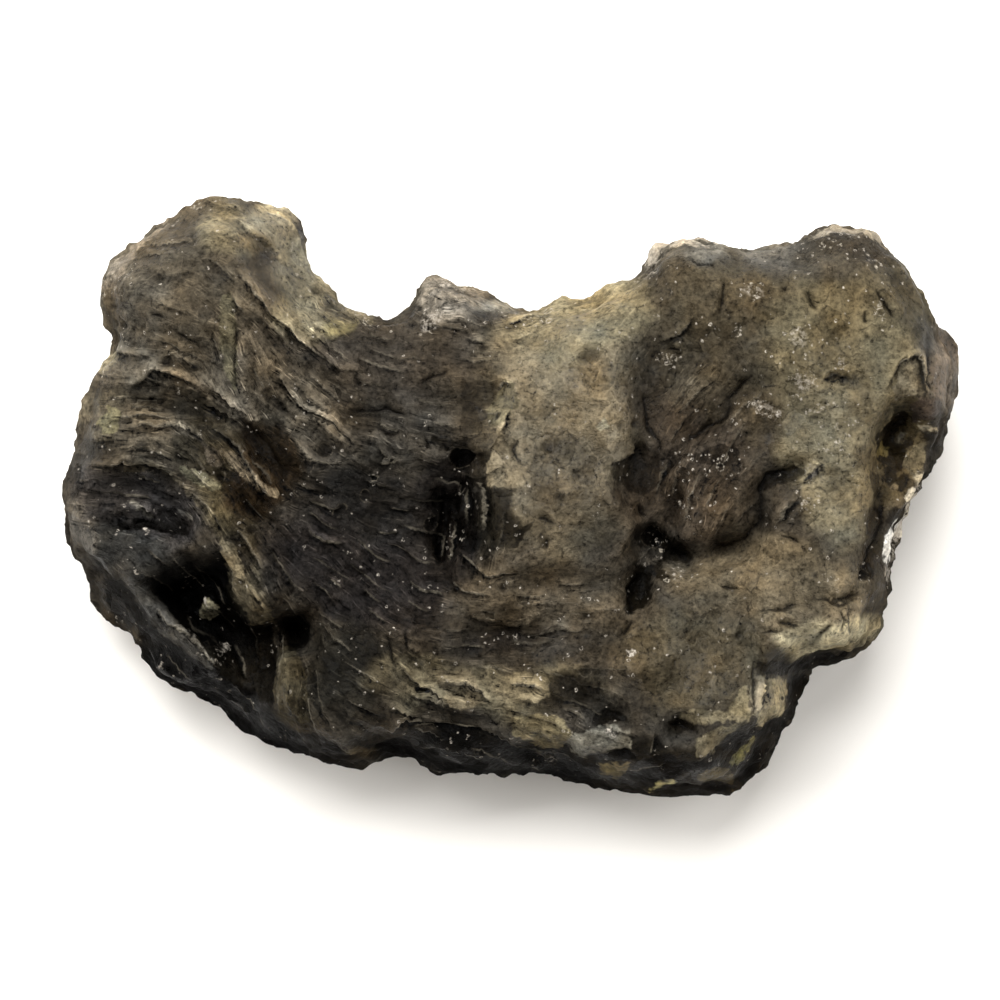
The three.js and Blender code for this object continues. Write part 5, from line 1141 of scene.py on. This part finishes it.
    # Pale dashes painted as glints along the flow, and dark dashes
    dash_light = mapped(tree, dash_lot, "Red", (0.9, 0.95), (0.0, 2.0))
    dash_dark = mapped(tree, dash_lot, "Red", (0.08, 0.12), (-0.8, 0.0))
    dash_tone = maths(tree, "ADD", (dash_light, "Result"), (dash_dark, "Result"))
    dash_near = mapped(tree, dashes, "Distance", (0.25, 0.45), (1.0, 0.0))
    dash = maths(tree, "MULTIPLY_ADD", (dash_tone, "Value"), (dash_near, "Result"), (streak, "Result"))
    sliver_lot = add_node(tree, "ShaderNodeSeparateColor", [("Color", slivers, "Color")])
    sliver_tone = mapped(tree, sliver_lot, "Red", (0.0, 1.0), (-0.3, 0.3))
    dash = maths(tree, "ADD", (dash, "Value"), (sliver_tone, "Result"))
    streaked = maths(tree, "MULTIPLY_ADD", (dash, "Value"), (flow, "Fac"), (shade, "Result"))
    facet_lot = add_node(tree, "ShaderNodeSeparateColor", [("Color", facets, "Color")])
    facet_tone = mapped(tree, facet_lot, "Red", (0.0, 1.0), (-0.2, 0.2))
    streaked = maths(tree, "ADD", (streaked, "Value"), (facet_tone, "Result"))
    mottle = mapped(tree, lumps, "Fac", (0.35, 0.65), (-0.16, 0.16))
    streaked = maths(tree, "ADD", (streaked, "Value"), (mottle, "Result"))
    # Painted light and shade on the two sides of each flake's edge
    faced = maths(tree, "MULTIPLY_ADD", (face, "Value"), 0.85, (streaked, "Value"))

    # Hairlines between the facets, some dark and some pale
    hair = mapped(tree, borders, "Distance", (0.015, 0.06), (1.0, 0.0))
    hair_dark = mapped(tree, lumps, "Fac", (0.53, 0.61), (0.0, 0.5))
    hair_pale = mapped(tree, lumps, "Fac", (0.44, 0.36), (0.0, -0.5))
    hair_tone = maths(tree, "ADD", (hair_dark, "Result"), (hair_pale, "Result"))
    hair_tone = maths(tree, "MULTIPLY", (hair_tone, "Value"), (hair, "Result"))
    hair_tone = maths(tree, "MULTIPLY", (hair_tone, "Value"), (upward, "Fac"))
    faced = maths(tree, "SUBTRACT", (faced, "Value"), (hair_tone, "Value"))
    body = add_node(tree, "ShaderNodeVectorMath", [(0, tone, "Color"), (1, faced, "Value")], operation="MULTIPLY")

    # Black hollows, partly painted shade, and pale facets, all with chipped edges
    chips = maths(tree, "MULTIPLY_ADD", (rings, "Distance"), 0.2, -0.08)
    chips = maths(tree, "MULTIPLY_ADD", (lumps, "Fac"), 0.24, (chips, "Value"))
    chips = maths(tree, "ADD", (chips, "Value"), -0.12)
    shape = add_node(tree, "ShaderNodeSeparateXYZ", [("Vector", shapes, "Vector")])
    dark_off = maths(tree, "ADD", (shape, "X"), (chips, "Value"))
    dark = mapped(tree, dark_off, "Value", (-0.04, 0.04), (0.0, 1.0))
    dark_share = maths(tree, "MULTIPLY", (dark, "Result"), (shape, "Z"))
    # Painted shade and the glass's own black: the body darkened to about a fifth
    black = add_node(tree, "ShaderNodeVectorMath", [(0, body, "Vector")], operation="MULTIPLY")
    black.inputs[1].default_value = (0.2, 0.19, 0.17)
    body = blended(tree, (dark_share, "Value"), (body, "Vector"), (black, "Vector"))
    pale_body = add_node(tree, "ShaderNodeVectorMath", [(0, pale_tone, "Color"), (1, faced, "Value")],
                         operation="MULTIPLY")
    pale_off = maths(tree, "ADD", (shape, "Y"), (chips, "Value"))
    pale = mapped(tree, pale_off, "Value", (-0.04, 0.04), (0.0, 0.95))
    body = blended(tree, (pale, "Result"), (body, 2), (pale_body, "Vector"))

    # Thin edges painted bright as highlights, brighter where the flake stands out, and cracks painted black
    # as the shade in their slits
    broken = mapped(tree, lumps, "Fac", (0.4, 0.6), (0.3, 1.0))
    bright = maths(tree, "MULTIPLY", line, weight)
    bright = maths(tree, "MULTIPLY", (bright, "Value"), (broken, "Result"))
    bright = maths(tree, "MULTIPLY", (bright, "Value"), (upward, "Fac"))
    # Painted highlight: the edge's colour lifted and paled
    edge_tone = add_node(tree, "ShaderNodeVectorMath", [(0, body, 2)], operation="MULTIPLY_ADD")
    edge_tone.inputs[1].default_value = (1.6, 1.6, 1.6)
    edge_tone.inputs[2].default_value = tuple(0.45 * TONE_SHARE * linear("#c8bda6"))
    edged = blended(tree, (bright, "Value"), (body, 2), (edge_tone, "Vector"))
    # Painted shade: the cracks drawn near black
    gap_here = maths(tree, "MULTIPLY", gap, (upward, "Fac"))
    gap_here = maths(tree, "MULTIPLY", (gap_here, "Value"), 0.7)
    cracked = blended(tree, (gap_here, "Value"), (edged, 2), "#050403")

    # Round pits: painted shade inside, with a thin painted highlight on the rim
    hole = mapped(tree, spot, "X", (-0.2, -0.04), (0.55, 0.0))
    pitted = blended(tree, (hole, "Result"), (cracked, 2), "#060504")
    # Painted highlight on the pits' rims
    rim_away = maths(tree, "ABSOLUTE", (spot, "X"))
    rim = mapped(tree, rim_away, "Value", (0.01, 0.04), (0.6, 0.0))
    rim_broken = mapped(tree, grain, "Fac", (0.45, 0.6), (0.0, 1.0))
    rim_shown = maths(tree, "MULTIPLY", (rim, "Result"), (rim_broken, "Result"))
    rimmed = blended(tree, (rim_shown, "Value"), (pitted, 2), "#4a443a")

    # Crust: thin pale rings round tiny pits and pale specks, both thicker where the crust lies; the rings
    # are partly painted glints and the specks painted sparkle. Also dark dots painted as shade in tiny pits,
    # painted glints on the listed grains, and thick crust
    crust = maths(tree, "MULTIPLY_ADD", (lumps, "Fac"), 0.5, (spot, "Z"))
    ring_lot = add_node(tree, "ShaderNodeSeparateColor", [("Color", loops, "Color")])
    ring_lack = mapped(tree, crust, "Value", (0.4, 1.0), (1.0, 0.15))
    ring_chosen = maths(tree, "GREATER_THAN", (ring_lot, "Red"), (ring_lack, "Result"))
    ring_size = mapped(tree, ring_lot, "Blue", (0.0, 1.0), (0.2, 0.42))
    ring_off = maths(tree, "SUBTRACT", (loops, "Distance"), (ring_size, "Result"))
    ring_away = maths(tree, "ABSOLUTE", (ring_off, "Value"))
    ring = mapped(tree, ring_away, "Value", (0.02, 0.1), (0.9, 0.0))
    ring_broken = maths(tree, "MULTIPLY", (ring, "Result"), (rim_broken, "Result"))
    ring_share = maths(tree, "MULTIPLY", (ring_broken, "Value"), (ring_chosen, "Value"))
    ringed = blended(tree, (ring_share, "Value"), (rimmed, 2), "#958d7f")
    speck_lot = add_node(tree, "ShaderNodeSeparateColor", [("Color", specks, "Color")])
    speck_lack = mapped(tree, crust, "Value", (0.2, 1.1), (0.993, 0.45))
    speck_chosen = maths(tree, "GREATER_THAN", (speck_lot, "Red"), (speck_lack, "Result"))
    # Painted shade: dark dots for tiny pits
    dot_chosen = maths(tree, "GREATER_THAN", (speck_lot, "Green"), 0.9)
    dot_size = mapped(tree, speck_lot, "Blue", (0.0, 1.0), (0.25, 0.5))
    dot_in = maths(tree, "LESS_THAN", (specks, "Distance"), (dot_size, "Result"))
    dot = maths(tree, "MULTIPLY", (dot_chosen, "Value"), (dot_in, "Value"))
    dot = maths(tree, "MULTIPLY", (dot, "Value"), 0.35)
    ringed = blended(tree, (dot, "Value"), (ringed, 2), "#0e0c0a")
    # Painted sparkle: pale specks
    speck_reach = mapped(tree, speck_lot, "Blue", (0.0, 1.0), (0.12, 0.42))
    speck_off = maths(tree, "SUBTRACT", (specks, "Distance"), (speck_reach, "Result"))
    speck_away = maths(tree, "ABSOLUTE", (speck_off, "Value"))
    speck = mapped(tree, speck_away, "Value", (0.04, 0.14), (0.9, 0.0))
    speck_share = maths(tree, "MULTIPLY", (speck, "Result"), (speck_chosen, "Value"))
    speck_share = maths(tree, "MULTIPLY", (speck_share, "Value"), (rim_broken, "Result"))
    speck_seen = mapped(tree, upward, "Fac", (0.0, 1.0), (0.3, 1.0))
    speck_share = maths(tree, "MULTIPLY", (speck_share, "Value"), (speck_seen, "Result"))
    # Painted highlights on the listed grains
    glint_off = maths(tree, "MULTIPLY_ADD", (rings, "Distance"), 0.3, (spot, "Y"))
    glint = mapped(tree, glint_off, "Value", (0.0, 0.05), (1.0, 0.0))
    glint_share = maths(tree, "MULTIPLY", (glint, "Result"), (rim_broken, "Result"))
    glint_share = maths(tree, "MULTIPLY", (glint_share, "Value"), (upward, "Fac"))
    cover = maths(tree, "MAXIMUM", (speck_share, "Value"), (glint_share, "Value"))
    thick = mapped(tree, spot, "Z", (0.6, 1.0), (0.0, 0.75))
    thick_share = maths(tree, "MULTIPLY", (thick, "Result"), (rim_broken, "Result"))
    cover = maths(tree, "MAXIMUM", (cover, "Value"), (thick_share, "Value"))
    with_crust_and_painted_glints = blended(tree, (cover, "Value"), (ringed, 2), "#aaa296")

    # Fine relief: grain, slivers along the flow, the steps at the flakes' edges, and cracks
    sliver = maths(tree, "MULTIPLY", (slivers, "Distance"), (flow, "Fac"))
    bump_grain = add_node(tree, "ShaderNodeBump", [("Height", grain, "Fac")],
                          values={"Strength": 0.8, "Distance": 0.08 * MM})
    bump_facet = add_node(tree, "ShaderNodeBump", [("Height", facet_height, "Value"),
                                                   ("Normal", bump_grain, "Normal")],
                          values={"Strength": 0.8, "Distance": 1.0})
    bump_sliver = add_node(tree, "ShaderNodeBump", [("Height", sliver, "Value"), ("Normal", bump_facet, "Normal")],
                           values={"Strength": 0.6, "Distance": 0.04 * MM})
    stepped = maths(tree, "SUBTRACT", (face, "Value"), (gap_here, "Value"))
    bump = add_node(tree, "ShaderNodeBump", [("Height", stepped, "Value"), ("Normal", bump_sliver, "Normal")],
                    values={"Strength": 0.8, "Distance": 0.05 * MM})
    gloss = mapped(tree, grain, "Fac", (0.35, 0.65), (0.25, 0.45))
    dull = mapped(tree, upward, "Fac", (0.0, 0.8), (0.6, 0.0))
    roughness = maths(tree, "ADD", (gloss, "Result"), (dull, "Result"))
    clear = maths(tree, "MULTIPLY", (window, "Fac"), 0.35)
    glass = add_node(tree, "ShaderNodeBsdfPrincipled",
                     [("Base Color", with_crust_and_painted_glints, 2), ("Roughness", roughness, "Value"),
                      ("Normal", bump, "Normal"), ("Transmission Weight", clear, "Value")],
                     values={"IOR": 1.49, "Specular IOR Level": 0.03})
    depth = add_node(tree, "ShaderNodeVolumeAbsorption",
                     values={"Color": (*linear("#b9b27a"), 1.0), "Density": 180.0})
    add_node(tree, "ShaderNodeOutputMaterial", [("Surface", glass, "BSDF"), ("Volume", depth, "Volume")])
    return material


def matt_white_table():
    """White painted board: even, matt, bright enough to clip to white around the stone."""
    material, tree = new_material("matt_white_table")
    place = add_node(tree, "ShaderNodeTexCoord")
    grain = add_node(tree, "ShaderNodeTexNoise", [("Vector", place, "Object")], values={"Scale": per_mm(1.5)})
    bump = add_node(tree, "ShaderNodeBump", [("Height", grain, "Fac")], values={"Strength": 0.1, "Distance": 0.02 * MM})
    board = add_node(tree, "ShaderNodeBsdfPrincipled", [("Normal", bump, "Normal")],
                     values={"Base Color": (*linear("#f4f1ec"), 1.0), "Roughness": 0.8, "IOR": 1.45})
    add_node(tree, "ShaderNodeOutputMaterial", [("Surface", board, "BSDF")])
    return material


# The studio

TABLE_SIDE = 900
TABLE_GAP = 0.01          # keeps the flats on which the stone rests from lying in the table's own face
CAMERA_HEIGHT = 226.2     # 40 mm of the table's length fill the picture at the stone's rim
CAMERA_PLACE = (-0.42, -0.12, CAMERA_HEIGHT)
LENS = 200
LAMPS = [
    # name, place, size, power in watts
    ("window_light", (-60, 260, 330), 320, 3.7),
    ("left_fill", (-360, 100, 260), 300, 1.4),
    ("right_fill", (360, 100, 260), 300, 1.1),
    ("front_fill", (0, -400, 240), 300, 0.45),
]


def make_table():
    half = TABLE_SIDE / 2
    corners = np.array([(-half, -half), (half, -half), (half, half), (-half, half)])
    corners = np.column_stack([corners, np.full(4, -TABLE_GAP)])
    mesh = bpy.data.meshes.new("table")
    mesh.from_pydata(corners * MM, [], [(0, 1, 2, 3)])
    mesh.materials.append(matt_white_table())
    table = bpy.data.objects.new("table", mesh)
    bpy.context.scene.collection.objects.link(table)
    return table


def make_lamp(name, place, size, power):
    light = bpy.data.lights.new(name, "AREA")
    light.size = size * MM
    light.energy = power
    lamp = bpy.data.objects.new(name, light)
    lamp.location = np.array(place) * MM
    aim = -lamp.location
    lamp.rotation_euler = aim.to_track_quat("-Z", "Y").to_euler()
    bpy.context.scene.collection.objects.link(lamp)


def make_camera():
    camera = bpy.data.objects.new("camera", bpy.data.cameras.new("camera"))
    camera.data.lens = LENS
    camera.data.sensor_width = 36
    camera.data.clip_start = 10 * MM
    camera.data.clip_end = 5000 * MM
    camera.location = np.array(CAMERA_PLACE) * MM
    bpy.context.scene.collection.objects.link(camera)
    bpy.context.scene.camera = camera


def make_sky():
    """Pale walls round the table and a dark ceiling, so that the stone's level facets stay dark."""
    world = bpy.data.worlds.new("studio")
    world.use_nodes = True
    tree = world.node_tree
    tree.nodes.clear()
    towards = add_node(tree, "ShaderNodeTexCoord")
    parts = add_node(tree, "ShaderNodeSeparateXYZ", [("Vector", towards, "Generated")])
    height = add_node(tree, "ShaderNodeMapRange", [("Value", parts, "Z")],
                      values={"From Min": 0.15, "From Max": 0.85, "To Min": 0.52, "To Max": 0.1})
    light = add_node(tree, "ShaderNodeBackground", [("Strength", height, "Result")],
                     values={"Color": (1.0, 0.93, 0.83, 1.0)})
    add_node(tree, "ShaderNodeOutputWorld", [("Surface", light, "Background")])
    bpy.context.scene.world = world


stone = make_stone(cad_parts["moldavite"])
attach(stone, "root")
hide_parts("moldavite")
make_table()
for lamp in LAMPS:
    make_lamp(*lamp)
make_camera()
make_sky()
bpy.context.scene.view_settings.view_transform = "Standard"
